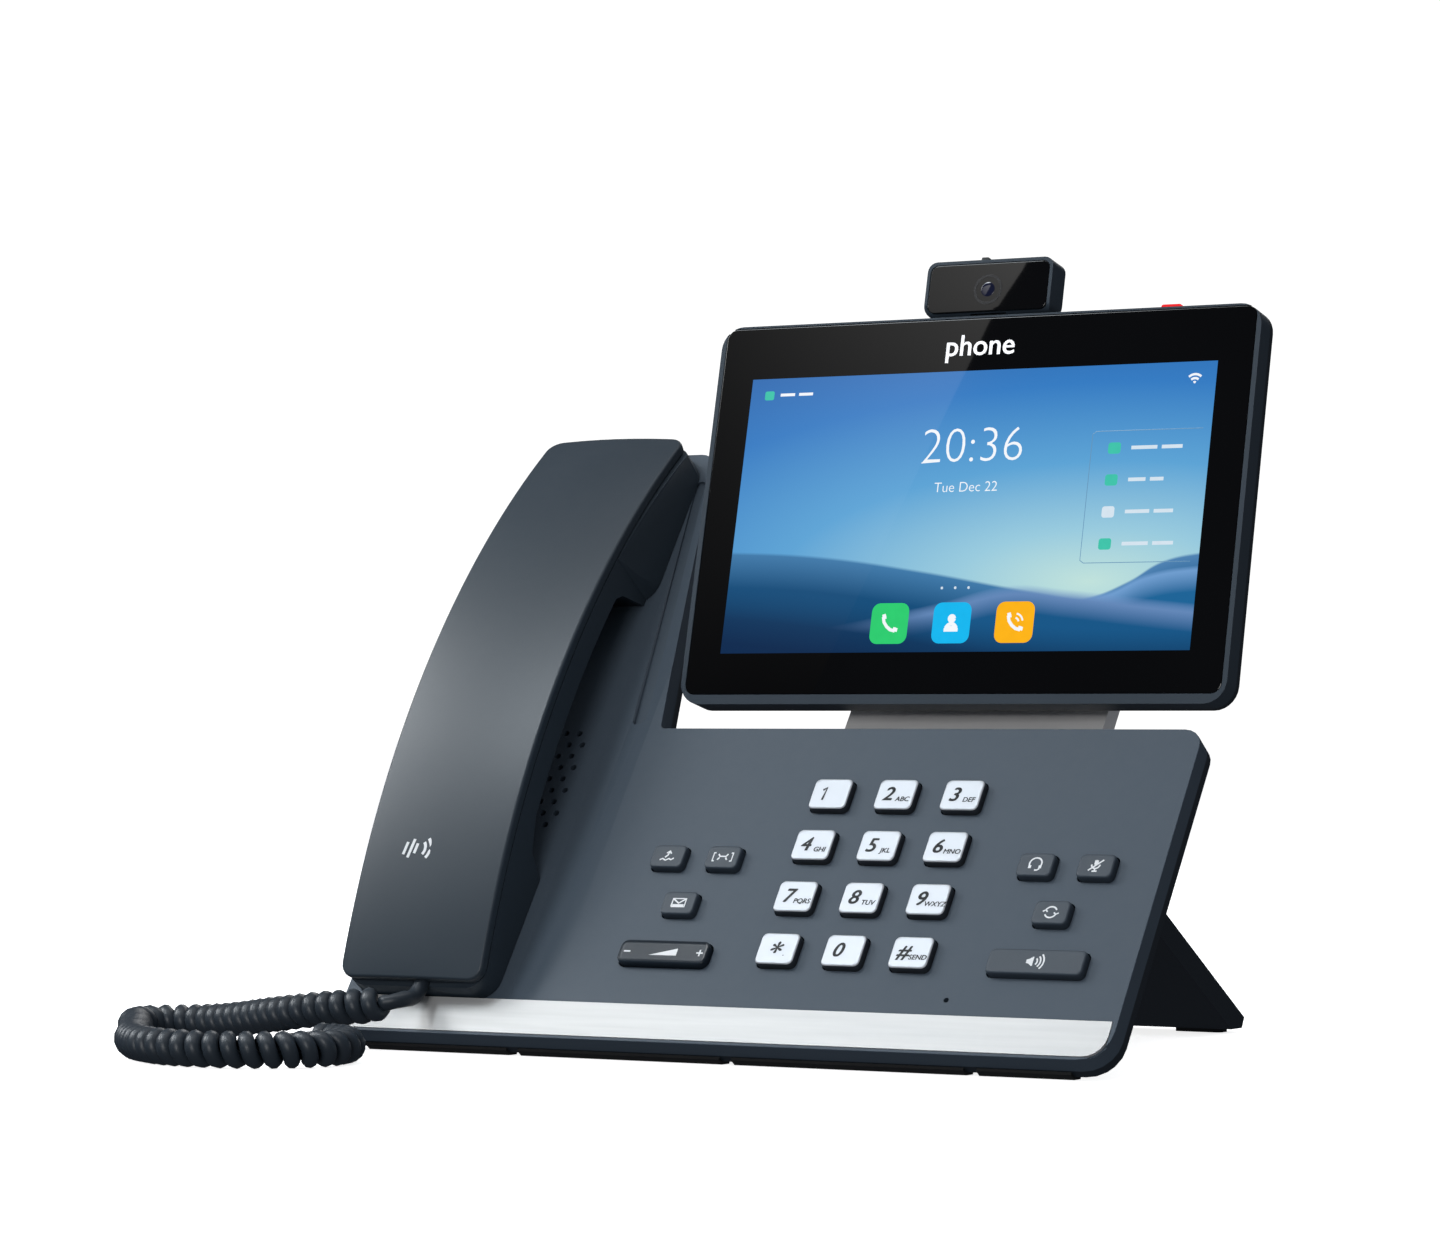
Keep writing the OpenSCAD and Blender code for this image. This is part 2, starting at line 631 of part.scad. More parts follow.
module handset_inner_shell()
    color(SLATE) on_slab() difference() {
        union() {
            intersection() {
                handset_plan(handset_w, 0, 7);
                across(cradle_u - 40, cradle_u + 40) inner_profile();
            }
            // the ear cup spreads towards its foot
            intersection() {
                translate([cradle_u, 0, 0]) rotate([90, 0, 0]) mirror([0, 0, 1]) linear_extrude(240)
                    polygon([[-handset_w / 2, 20], [-cup_w / 2, rest_h], [cup_w / 2, rest_h],
                             [handset_w / 2, 20]]);
                translate([cradle_u, (cup_v + handset_high - 1.5) / 2, -10]) linear_extrude(60)
                    polygon(rounded(box_points(cup_w, handset_high - 1.5 - cup_v, 9), 6));
                across(cradle_u - 40, cradle_u + 40) inner_profile();
            }
        }
        // hollows of the ear cup and the mouth end
        translate([cradle_u, 187, 0]) block(44, 50, 6, rest_h + 2.4, 8);
        translate([cradle_u, mouth_mid, 0]) block(42, 20, 5, rest_h + 2.4, 7);
        // sound holes towards the ear and the mouth
        for (a = [0:60:300])
            translate([cradle_u + 7 * cos(a), 199 + 7 * sin(a), -4]) cylinder(h = 6, d = 2.4, $fn = 20);
        for (s = [-1, 0, 1])
            translate([cradle_u + s * 4, mouth_mid, -4]) cylinder(h = 6, d = 2, $fn = 20);
        plug_pocket();
    }
// Pocket of the cord plug in the handset's lower end, and the narrower way for the cord
module plug_pocket()
    on_plug() {
        block(8, 7, 0, plug_v - 0.2, plug_v + 11.9);
        cylinder(h = plug_v, d = wire_d + 0.8, $fn = 32);
    }

module ear_speaker()
    color("#3a3d40") on_slab() translate([cradle_u, 199, 0.9]) {
        cylinder(h = 4.6, d = 24, $fn = 48);
        translate([0, 0, 4.5]) cylinder(h = 1.6, d = 12, $fn = 40);
    }

module mouth_microphone()
    color("#8c9094") on_slab() translate([cradle_u, mouth_mid, 0.6]) cylinder(h = 2.8, d = 9.4, $fn = 40);

module handset_ballast()
    color("#7d8083") on_slab() translate([cradle_u, 172.5, 0]) block(30, 16, 1.5, 0.9, 5.6);

// ---------- cord ----------
// Slab place of the handset's plug: x across, z up the slope
module on_plug() translate([plug_u, 0, plug_h]) rotate([90, 0, 0]) mirror([0, 0, 1]) children();

module handset_plug()
    color("#2b3641") on_slab() on_plug() block(7.6, 6.6, 0.4, plug_v, plug_v + 11.6);

module base_plug()
    color("#2b3641") on_slab() translate([cord_jack_u - 5.8, jack_v, 0])
        block(7.6, 6.6, 0.4, bump_h - 4, bump_h + 10.6);

// Routes through points [x, y, z], round numbers chosen by hand
TAIL_1 = [[-99.5, -98.6, 21.9], [-99.5, -100.4, 19.5], [-99.5, -102.6, 17.4], [-99.4, -105.4, 16.2],
          [-99.4, -108.5, 16.2]];
CURL = [[-103, -113.5, 14.5], [-107, -114, 14.3], [-115, -115, 13.6], [-126, -114, 12.6],
        [-137, -112, 11.3], [-149, -107.5, 9.8], [-161, -102, 8.2], [-173, -97, 6.8],
        [-184, -93.5, 5.9], [-193, -93.5, 5.5], [-199, -98, 5.4], [-199, -107, 5.4],
        [-192, -117, 5.4], [-182, -130, 5.4], [-171, -145, 5.4], [-160, -160, 5.4],
        [-148, -172, 5.4], [-136, -179, 5.4], [-122, -182, 5.4], [-109, -180, 5.4],
        [-98, -174, 5.4], [-91, -165, 5.4], [-90, -155, 5.4], [-94, -146, 5.4], [-102, -140, 5.4],
        [-112, -137, 5.4]];
TAIL_2 = [[-109, -138, 4.4], [-115, -135, 3.4], [-120, -131.5, 2.5], [-126, -127, 2.3], [-136, -120, 2.3], [-141, -110, 2.3], [-141, -98, 2.3], [-136, -86, 2.3],
          [-126, -74, 2.3], [-112, -64, 2.3], [-96, -52, 2.3], [-78, -41, 2.3], [-60, -33, 2.4],
          [-46, -29.5, 3.6], [-37, -31.5, 5.6], [-32.2, -36.5, 8.2], [-30.6, -42.5, 11.8],
          [-30.35, -47, 15]];

// Tangent at point i of a route
function heading(p, i) = unit(p[min(i + 1, len(p) - 1)] - p[max(i - 1, 0)]);
function ring(p, i, r, sides) =
    let (t = heading(p, i), side = unit(cross(t, abs(t[2]) > 0.9 ? [1, 0, 0] : [0, 0, 1])),
         over = cross(side, t))
    [for (k = [0:sides - 1]) p[i] + r * (cos(360 * k / sides) * side + sin(360 * k / sides) * over)];
module tube(p, d, sides) {
    n = len(p);
    points = [for (i = [0:n - 1]) for (q = ring(p, i, d / 2, sides)) q];
    walls = [for (i = [0:n - 2]) for (k = [0:sides - 1])
        [i * sides + k, i * sides + (k + 1) % sides, (i + 1) * sides + (k + 1) % sides,
         (i + 1) * sides + k]];
    ends = [[for (k = [sides - 1:-1:0]) k], [for (k = [0:sides - 1]) (n - 1) * sides + k]];
    polyhedron(points, concat(walls, ends), convexity = 4);
}
module cord_tail_handset() color("#232c35") tube(TAIL_1, wire_d, 8);
module cord_curl() color("#232c35") tube(CURL, curl_d, 10);
module cord_tail_base() color("#232c35") tube(TAIL_2, wire_d, 8);

base_front_cover();
base_rear_cover();
trim_strip();
keypad_mat();
keypad_board();
main_board();
loudspeaker();
network_jacks();
cord_jacks();
power_jack();
neck_bracket();
tilt_pin();
base_feet();
case_screws();
cradle_tab();
hook_plunger();
dial_key(0);  // key_1
dial_key(1);  // key_2
dial_key(2);  // key_3
dial_key(3);  // key_4
dial_key(4);  // key_5
dial_key(5);  // key_6
dial_key(6);  // key_7
dial_key(7);  // key_8
dial_key(8);  // key_9
dial_key(9);  // key_star
dial_key(10);  // key_0
dial_key(11);  // key_hash
side_key(0);  // key_transfer
side_key(1);  // key_conference
side_key(2);  // key_message
side_key(3);  // key_headset
side_key(4);  // key_mute
side_key(5);  // key_redial
side_key(6);  // key_speaker
volume_rocker();
display_frame();
display_glass();
lcd_panel();
display_board();
display_rear_cover();
message_light();
camera_plug();
camera_housing();
camera_window();
camera_lens();
shutter_slider();
kickstand();
stand_pins();
stand_feet();
handset_outer_shell();
handset_inner_shell();
ear_speaker();
mouth_microphone();
handset_ballast();
handset_plug();
cord_tail_handset();
cord_curl();
cord_tail_base();
base_plug();
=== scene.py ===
# %% [markdown]
# # A desk video telephone
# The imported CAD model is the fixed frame: sizes, places and joints come from it. This lesson gives
# every visible piece its finish, rebuilds the ones whose edges and curves need more care, lays the
# curly cord, and lights the whole on a white table.

# %% Load the frame
import math
import bmesh
import bpy
from mathutils import Matrix, Vector


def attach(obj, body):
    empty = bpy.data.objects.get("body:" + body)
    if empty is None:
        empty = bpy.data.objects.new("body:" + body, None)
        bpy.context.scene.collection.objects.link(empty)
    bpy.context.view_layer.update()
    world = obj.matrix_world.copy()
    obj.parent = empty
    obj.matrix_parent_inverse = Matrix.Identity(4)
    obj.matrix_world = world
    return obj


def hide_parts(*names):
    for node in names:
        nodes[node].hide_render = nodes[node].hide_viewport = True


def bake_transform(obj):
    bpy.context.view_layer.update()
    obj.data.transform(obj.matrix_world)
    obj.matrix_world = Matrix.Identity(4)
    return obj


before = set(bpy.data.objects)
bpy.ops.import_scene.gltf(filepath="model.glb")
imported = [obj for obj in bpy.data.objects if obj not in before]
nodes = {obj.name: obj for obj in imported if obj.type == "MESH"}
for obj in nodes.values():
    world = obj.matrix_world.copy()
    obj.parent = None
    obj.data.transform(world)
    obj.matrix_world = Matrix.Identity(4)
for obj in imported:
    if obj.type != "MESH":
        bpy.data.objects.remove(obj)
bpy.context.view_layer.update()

# %% [markdown]
# The phone has two planes that most pieces lie on: the leaning slab with the keys, and the glass of
# the display. Two matrices turn millimetres drawn flat on those planes (x across, y up, z out) into
# metres in the frame, so that each piece can be drawn as simply as on paper.

# %% The slab's plane and the glass's plane
TO_MM = Matrix.Scale(0.001, 4)
SLAB_LEAN, GLASS_LEAN = 54.3, 76.6


def leaning(place, degrees):
    """A plane through a place, turned up from the desk and drawn on in mm."""
    return Matrix.Translation(place) @ Matrix.Rotation(math.radians(degrees), 4, "X") @ TO_MM


SLAB = leaning((0.04145, -0.10404, 0.0061), SLAB_LEAN)
GLASS = leaning((0.04145, -0.02474, 0.1596), GLASS_LEAN)
print("slab leans", SLAB_LEAN, "degrees, display", GLASS_LEAN, "degrees")

# %% [markdown]
# ## Camera
# A long lens from the front right, almost level with the desk, keeps the upright lines upright.
# The small shift frames the phone without turning the camera.

# %% Camera
camera_data = bpy.data.cameras.new("camera")
camera_data.lens = 115.69
camera_data.sensor_width = 36
camera_data.shift_x, camera_data.shift_y = -0.00533, 0.01133
camera_data.clip_end = 50
camera = bpy.data.objects.new("camera", camera_data)
bpy.context.scene.collection.objects.link(camera)
turn, rise = math.radians(30.209), math.radians(-0.858)
backwards = Vector((math.sin(turn) * math.cos(rise), -math.cos(turn) * math.cos(rise), math.sin(rise)))
camera.location = (0.66576, -1.23503, 0.10009)
camera.rotation_mode = "QUATERNION"
camera.rotation_quaternion = (-backwards).to_track_quat("-Z", "Y")
bpy.context.scene.camera = camera
print("camera", round(camera.location.length, 2), "m from the origin")

# %% [markdown]
# ## Cord
# A handset cord is a thin round cable wound into a tight spring, with a plain tail at each end. One
# way is a curve with an Array and a Curve modifier; the other, used here, works out the centre line
# of the wire itself, turn by turn round the route, and lets a curve's bevel give it its round
# section. That way its true length is known, and the coils stay round in every bend.

# %% Route of the cord
TAIL_1 = [(-99.5, -98.6, 21.9), (-99.5, -100.4, 19.5), (-99.5, -102.6, 17.4), (-99.4, -105.4, 16.2),
          (-99.4, -108.5, 16.2)]
CURL = [(-103, -113.5, 14.5), (-107, -114, 14.3), (-115, -115, 13.6), (-126, -114, 12.6),
        (-137, -112, 11.3), (-149, -107.5, 9.8), (-161, -102, 8.2), (-173, -97, 6.8),
        (-184, -93.5, 5.9), (-193, -93.5, 5.5), (-199, -98, 5.4), (-199, -107, 5.4),
        (-192, -117, 5.4), (-182, -130, 5.4), (-171, -145, 5.4), (-160, -160, 5.4),
        (-148, -172, 5.4), (-136, -179, 5.4), (-122, -182, 5.4), (-109, -180, 5.4),
        (-98, -174, 5.4), (-91, -165, 5.4), (-90, -155, 5.4), (-94, -146, 5.4), (-102, -140, 5.4),
        (-112, -137, 5.4)]
TAIL_2 = [(-109, -138, 4.4), (-115, -135, 3.4), (-120, -131.5, 2.5), (-126, -127, 2.3),
          (-136, -120, 2.3), (-141, -110, 2.3), (-141, -98, 2.3), (-136, -86, 2.3),
          (-126, -74, 2.3), (-112, -64, 2.3), (-96, -52, 2.3), (-78, -41, 2.3), (-60, -33, 2.4),
          (-46, -29.5, 3.6), (-37, -31.5, 5.6), (-32.2, -36.5, 8.2), (-30.6, -42.5, 11.8),
          (-30.35, -47, 15)]
WIRE = 0.0048
COIL_RADIUS = 0.0030
COIL_PITCH = 0.0052
print("route points:", [len(route) for route in (TAIL_1, CURL, TAIL_2)])

# %% Smoothing and winding


def eased(points, step, cuts=24):
    """A smooth line through points given in mm, cut into even steps, in metres."""
    p = [Vector(q) * 0.001 for q in points]
    p = [2 * p[0] - p[1]] + p + [2 * p[-1] - p[-2]]
    fine = []
    for a, b, c, d in zip(p, p[1:], p[2:], p[3:]):
        for i in range(cuts):
            t = i / cuts
            fine.append(0.5 * (2 * b + (c - a) * t + (2 * a - 5 * b + 4 * c - d) * t**2
                               + (3 * b - 3 * c + d - a) * t**3))
    fine.append(p[-2])
    length = sum((b - a).length for a, b in zip(fine, fine[1:]))
    count = max(2, round(length / step))
    line, gone, want = [fine[0]], 0.0, length / count
    for a, b in zip(fine, fine[1:]):
        part = (b - a).length
        while part > 0 and gone + part >= want * len(line) - 1e-9 and len(line) < count:
            line.append(a.lerp(b, (want * len(line) - gone) / part))
        gone += part
    return line + [fine[-1]]


def wound(route, radius, pitch, steps=14):
    """The wire's own centre line, wound round a route."""
    line = eased(route, pitch / steps)
    side, wire = Vector((0, 0, 1)), []
    taper = steps * 0.8
    for i, place in enumerate(line):
        along = (line[min(i + 1, len(line) - 1)] - line[max(i - 1, 0)]).normalized()
        side = (side - along * side.dot(along)).normalized()
        angle = 2 * math.pi * i / steps
        grown = radius * min(1, (i + 2) / taper, (len(line) - i + 1) / taper)
        wire.append(place + grown * (math.cos(angle) * side + math.sin(angle) * along.cross(side)))
    return wire


curl_line = eased(TAIL_1, 0.002) + wound(CURL, COIL_RADIUS, COIL_PITCH)
lead_line = eased(TAIL_2, 0.003)

# %% Cord pieces


def wire_piece(name, line, diameter):
    """A round wire along a line, as a mesh."""
    curve = bpy.data.curves.new(name, "CURVE")
    curve.dimensions = "3D"
    spline = curve.splines.new("POLY")
    spline.points.add(len(line) - 1)
    for point, place in zip(spline.points, line):
        point.co = (*place, 1)
    curve.bevel_depth = diameter / 2
    curve.bevel_resolution = 3
    curve.use_fill_caps = True
    drawn = bpy.data.objects.new(name + "_line", curve)
    bpy.context.scene.collection.objects.link(drawn)
    depsgraph = bpy.context.evaluated_depsgraph_get()
    mesh = bpy.data.meshes.new_from_object(drawn.evaluated_get(depsgraph))
    bpy.data.objects.remove(drawn)
    mesh.shade_smooth()
    piece = bpy.data.objects.new(name, mesh)
    bpy.context.scene.collection.objects.link(piece)
    return piece


curly_cord = wire_piece("curly_cord", curl_line, WIRE)
plain_lead = wire_piece("plain_lead", lead_line, WIRE)
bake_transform(curly_cord)
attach(plain_lead, "base")
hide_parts("cord_tail_handset", "cord_curl")
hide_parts("cord_tail_base")
print("curly cord has", len(curly_cord.data.polygons), "faces")

# %% [markdown]
# ## Finishes
# Moulded plastic is never one flat colour: it has a fine sparked grain, and soft patches where it was
# handled. Both are wanted in several finishes, so each is a node group with its own inputs, and a
# finish only sets their values. The groups give out heights and masks, and the shader stays outside.

# %% Node helpers


def group_of(name, inputs, outputs):
    """An empty shader node group with number inputs and outputs."""
    group = bpy.data.node_groups.new(name, "ShaderNodeTree")
    for label, value in inputs.items():
        socket = group.interface.new_socket(label, in_out="INPUT", socket_type="NodeSocketFloat")
        socket.default_value = value
    for label in outputs:
        group.interface.new_socket(label, in_out="OUTPUT", socket_type="NodeSocketFloat")
    return group, group.nodes.new("NodeGroupInput"), group.nodes.new("NodeGroupOutput")


def maths(tree, operation, first, second=None, clamp=False):
    """A Math node; each value may be a number or a socket."""
    node = tree.nodes.new("ShaderNodeMath")
    node.operation, node.use_clamp = operation, clamp
    for socket, value in zip(node.inputs, (first, second)):
        if hasattr(value, "links"):
            tree.links.new(value, socket)
        elif value is not None:
            socket.default_value = value
    return node.outputs[0]


def noise(tree, coordinates, scale, detail=2.0, rough=0.5):
    """Soft noise, read at given coordinates."""
    node = tree.nodes.new("ShaderNodeTexNoise")
    node.inputs["Detail"].default_value = detail
    node.inputs["Roughness"].default_value = rough
    tree.links.new(coordinates, node.inputs["Vector"])
    if hasattr(scale, "links"):
        tree.links.new(scale, node.inputs["Scale"])
    else:
        node.inputs["Scale"].default_value = scale
    return node.outputs["Fac"]


print("node helpers ready")


# %% Group: moulded grain
grain_group, grain_in, grain_out = group_of(
    "moulded_grain", {"Grain Scale": 1500.0, "Patch Scale": 14.0}, ["Height", "Patches"])
place = grain_group.nodes.new("ShaderNodeTexCoord").outputs["Object"]
sparks = noise(grain_group, place, grain_in.outputs["Grain Scale"], 3.0, 0.6)
patches = noise(grain_group, place, grain_in.outputs["Patch Scale"], 2.0, 0.45)
grain_group.links.new(sparks, grain_out.inputs["Height"])
grain_group.links.new(maths(grain_group, "MULTIPLY_ADD", patches, 1.8, True), grain_out.inputs["Patches"])
grain_group.nodes["Math"].inputs[2].default_value = -0.4
print("moulded_grain gives a spark height and soft patches")

# %% Group: brushed lines
brushed_group, brushed_in, brushed_out = group_of(
    "brushed_lines", {"Fineness": 900.0}, ["Height", "Streaks"])
place = brushed_group.nodes.new("ShaderNodeTexCoord").outputs["Object"]
pull = brushed_group.nodes.new("ShaderNodeMapping")
pull.inputs["Scale"].default_value = (0.05, 1.0, 1.0)
brushed_group.links.new(place, pull.inputs["Vector"])
lines = noise(brushed_group, pull.outputs["Vector"], brushed_in.outputs["Fineness"], 4.0, 0.65)
wide = noise(brushed_group, pull.outputs["Vector"],
             maths(brushed_group, "MULTIPLY", brushed_in.outputs["Fineness"], 0.35), 2.0, 0.5)
brushed_group.links.new(lines, brushed_out.inputs["Height"])
brushed_group.links.new(wide, brushed_out.inputs["Streaks"])
print("brushed_lines gives fine lines and wider streaks along X")

# %% Group: resting dust
dust_group, dust_in, dust_out = group_of("resting_dust", {"Amount": 0.1}, ["Dust"])
upward = dust_group.nodes.new("ShaderNodeSeparateXYZ")
dust_group.links.new(dust_group.nodes.new("ShaderNodeNewGeometry").outputs["Normal"], upward.inputs[0])
place = dust_group.nodes.new("ShaderNodeTexCoord").outputs["Object"]
specks = noise(dust_group, place, 260.0, 5.0, 0.7)
facing = maths(dust_group, "SMOOTH_MIN", maths(dust_group, "SUBTRACT", upward.outputs["Z"], 0.2), 1.0)
amount = maths(dust_group, "MULTIPLY", maths(dust_group, "MULTIPLY", facing, specks),
               dust_in.outputs["Amount"], clamp=True)
dust_group.links.new(amount, dust_out.inputs["Dust"])
print("resting_dust lies on faces that look up")

# %% [markdown]
# A finish is a material that places the groups, mixes its colours with what they give, and sets the
# numbers that are the same all over on the shader's own sockets. Three makers cover the phone:
# moulded plastic and rubber, brushed metal, and ink that may be lit.

# %% Material helpers


def shader(name):
    """A new material, its node tree and its shader."""
    material = bpy.data.materials.new(name)
    material.use_nodes = True
    return material, material.node_tree, material.node_tree.nodes["Principled BSDF"]


def tuned(material, **values):
    """Numbers and colours set straight on the shader's own sockets."""
    sockets = material.node_tree.nodes["Principled BSDF"].inputs
    for label, value in values.items():
        sockets[label.replace("_", " ")].default_value = value
    return material


def placed(tree, group, **values):
    """A node group put in a tree, with its own values."""
    node = tree.nodes.new("ShaderNodeGroup")
    node.node_tree = group
    for label, value in values.items():
        node.inputs[label.replace("_", " ")].default_value = value
    return node.outputs


def blended(tree, share, first, second):
    """A colour between two, by a share from 0 to 1."""
    node = tree.nodes.new("ShaderNodeMix")
    node.data_type = "RGBA"
    for socket, value in ((node.inputs[0], share), (node.inputs[6], first), (node.inputs[7], second)):
        if hasattr(value, "links"):
            tree.links.new(value, socket)
        else:
            socket.default_value = (*value, 1) if hasattr(value, "__len__") else value
    return node.outputs[2]


def ranged(tree, value, low, high):
    """A value from 0 to 1, spread from low to high."""
    return maths(tree, "ADD", maths(tree, "MULTIPLY", value, high - low), low)


def bumped(tree, principled, height, depth):
    """A height felt by the light, some metres deep."""
    bump = tree.nodes.new("ShaderNodeBump")
    bump.inputs["Strength"].default_value = 1.0
    bump.inputs["Distance"].default_value = depth
    tree.links.new(height, bump.inputs["Height"])
    tree.links.new(bump.outputs["Normal"], principled.inputs["Normal"])


print("material helpers ready")

# %% Finish makers
DUST = (0.55, 0.54, 0.52)


def moulded(name, colour, rough, grain=1500.0, depth=0.00002, dust=0.06, coat=0.0, metal=0.0,
            shine=0.5):
    """Moulded plastic or rubber, with a spark grain, handled patches and a breath of dust."""
    material, tree, principled = shader(name)
    surface = placed(tree, grain_group, Grain_Scale=grain)
    dusty = placed(tree, dust_group, Amount=dust)["Dust"]
    lighter = [min(1, c * 1.14 + 0.001) for c in colour]
    tint = blended(tree, surface["Patches"], colour, lighter)
    tree.links.new(blended(tree, dusty, tint, DUST), principled.inputs["Base Color"])
    tree.links.new(ranged(tree, surface["Patches"], rough - 0.04, rough + 0.05),
                   principled.inputs["Roughness"])
    bumped(tree, principled, surface["Height"], depth)
    return tuned(material, Coat_Weight=coat, Coat_Roughness=0.08, Specular_IOR_Level=shine,
                 Metallic=metal)


def brushed(name, colour, rough, fineness=900.0, depth=0.000012, metal=1.0, streak=0.86):
    """Brushed metal, with its lines along X."""
    material, tree, principled = shader(name)
    surface = placed(tree, brushed_group, Fineness=fineness)
    tree.links.new(blended(tree, surface["Streaks"], [c * streak for c in colour], colour),
                   principled.inputs["Base Color"])
    tree.links.new(ranged(tree, surface["Streaks"], rough - 0.06, rough + 0.08),
                   principled.inputs["Roughness"])
    bumped(tree, principled, surface["Height"], depth)
    return tuned(material, Metallic=metal)


def inked(name, colour, glow=0.0, rough=0.45):
    """Printed ink, or a lit mark on the screen when it glows."""
    material, tree, principled = shader(name)
    surface = placed(tree, grain_group, Grain_Scale=2500.0, Patch_Scale=400.0)
    tint = blended(tree, surface["Patches"], [c * 0.94 for c in colour], colour)
    if glow:
        tuned(material, Base_Color=(0.01, 0.01, 0.01, 1), Emission_Strength=glow)
        tree.links.new(tint, principled.inputs["Emission Color"])
    else:
        tree.links.new(tint, principled.inputs["Base Color"])
    return tuned(material, Roughness=rough)


print("finish makers ready")


# %% The phone's finishes
slate = moulded("slate_shell", (0.056, 0.077, 0.102), 0.48, shine=0.20)
slate_handset = moulded("slate_handset", (0.026, 0.038, 0.051), 0.38, depth=0.000015, dust=0.03,
                        shine=0.4)
slate_case = moulded("slate_case", (0.032, 0.046, 0.062), 0.46, shine=0.25, dust=0.03)
slate_dark = moulded("slate_dark_shell", (0.013, 0.020, 0.029), 0.46, dust=0.03)
slate_key = moulded("side_key_slate", (0.040, 0.054, 0.071), 0.38, grain=2200.0, depth=0.00001,
                    shine=0.22)
rocker_gloss = moulded("rocker_gloss", (0.014, 0.021, 0.030), 0.26, depth=0.000004, shine=0.22)
cord_jacket = moulded("cord_jacket", (0.022, 0.031, 0.042), 0.40, grain=1800.0, depth=0.00002,
                      dust=0.03)
plug_plastic = moulded("plug_plastic", (0.020, 0.028, 0.038), 0.30, depth=0.000006)
black_plastic = moulded("black_plastic", (0.012, 0.014, 0.016), 0.42)
foot_rubber = moulded("foot_rubber", (0.012, 0.013, 0.014), 0.72, grain=900.0, depth=0.00006)
silicone_mat = moulded("silicone_mat", (0.30, 0.31, 0.33), 0.6)
board_green = moulded("circuit_board", (0.012, 0.085, 0.045), 0.35, grain=700.0, depth=0.00003)
key_silver = moulded("dial_silver", (0.47, 0.495, 0.53), 0.36, grain=2600.0, depth=0.000006, dust=0.0,
                     metal=0.25)
# Painted shade: the dark finish on the dial keys' sides, which are really silver like the top.
key_side_painted_shade = moulded("dial_side_painted_shade", (0.030, 0.036, 0.044), 0.4)
bright_strip = brushed("bright_strip", (0.67, 0.67, 0.66), 0.40, metal=0.2, streak=0.60)
satin_metal = brushed("satin_metal", (0.84, 0.83, 0.82), 0.40, fineness=1400.0, depth=0.000006,
                      metal=0.1)
plain_steel = brushed("plain_steel", (0.55, 0.56, 0.58), 0.30, fineness=1600.0, depth=0.000006)
white_ink = inked("white_ink", (0.78, 0.80, 0.82))
black_ink = inked("black_ink", (0.012, 0.014, 0.018))
# Painted light: the printed word on the bezel glows a little, to stay white on the upright display where
# little lamp light falls.
bezel_ink_painted_light = tuned(inked("bezel_ink_painted_light", (0.86, 0.87, 0.89)), Emission_Color=(1, 1, 1, 1),
                  Emission_Strength=0.35)
for piece in (curly_cord, plain_lead):
    piece.data.materials.append(cord_jacket)
print(len(bpy.data.materials), "finishes so far")

# %% [markdown]
# The cover glass is black behind everything but the lit picture. A dark, very smooth body under a
# clear coat reflects the room as real glass does, and costs less than true glass over true black.

# %% Glass finishes
black_glass = moulded("black_glass", (0.0015, 0.0016, 0.002), 0.10, grain=60.0, depth=0.0, dust=0.01)
tuned(black_glass, Specular_IOR_Level=0.0, Coat_Weight=1.0, Coat_Roughness=0.015)
lens_glass = moulded("lens_glass", (0.006, 0.008, 0.028), 0.05, grain=60.0, depth=0.0, dust=0.0)
tuned(lens_glass, Coat_Weight=1.0, Coat_Roughness=0.02)
lens_ring = moulded("lens_ring", (0.006, 0.006, 0.008), 0.26, depth=0.000004, coat=0.6)
red_lamp = inked("red_lamp", (0.92, 0.008, 0.014), glow=1.0, rough=0.2)
print("glass and lamp finishes ready")

# %% [markdown]
# The lit picture is a calm landscape: a sky that pales towards the horizon, and five ridges of blue
# hills. Painting it in the shader, on the sheet's own UV map, keeps it sharp at any size. Each ridge
# is a curve of height against width; its crest is sharp or misty, and it fades downwards.

# %% The sky
picture, tree, principled = shader("lit_picture")
spot = tree.nodes.new("ShaderNodeSeparateXYZ")
tree.links.new(tree.nodes.new("ShaderNodeUVMap").outputs["UV"], spot.inputs[0])
across, up = spot.outputs["X"], spot.outputs["Y"]
fromx = maths(tree, "MULTIPLY", maths(tree, "SUBTRACT", across, 0.78), 0.62)
fromy = maths(tree, "SUBTRACT", up, 0.24)
away = maths(tree, "SQRT", maths(tree, "ADD", maths(tree, "MULTIPLY", fromx, fromx),
                                 maths(tree, "MULTIPLY", fromy, fromy)))
sky = tree.nodes.new("ShaderNodeValToRGB")
tree.links.new(away, sky.inputs["Fac"])
SKY = [(0.0, (0.55, 0.79, 0.74)), (0.18, (0.33, 0.62, 0.76)), (0.42, (0.11, 0.38, 0.69)),
       (0.70, (0.034, 0.205, 0.56)), (1.0, (0.018, 0.12, 0.40))]
while len(sky.color_ramp.elements) < len(SKY):
    sky.color_ramp.elements.new(0.5)
for stop, (place, colour) in zip(sky.color_ramp.elements, SKY):
    stop.position, stop.color = place, (*colour, 1)
painted = sky.outputs["Color"]
print("sky has", len(SKY), "colours")

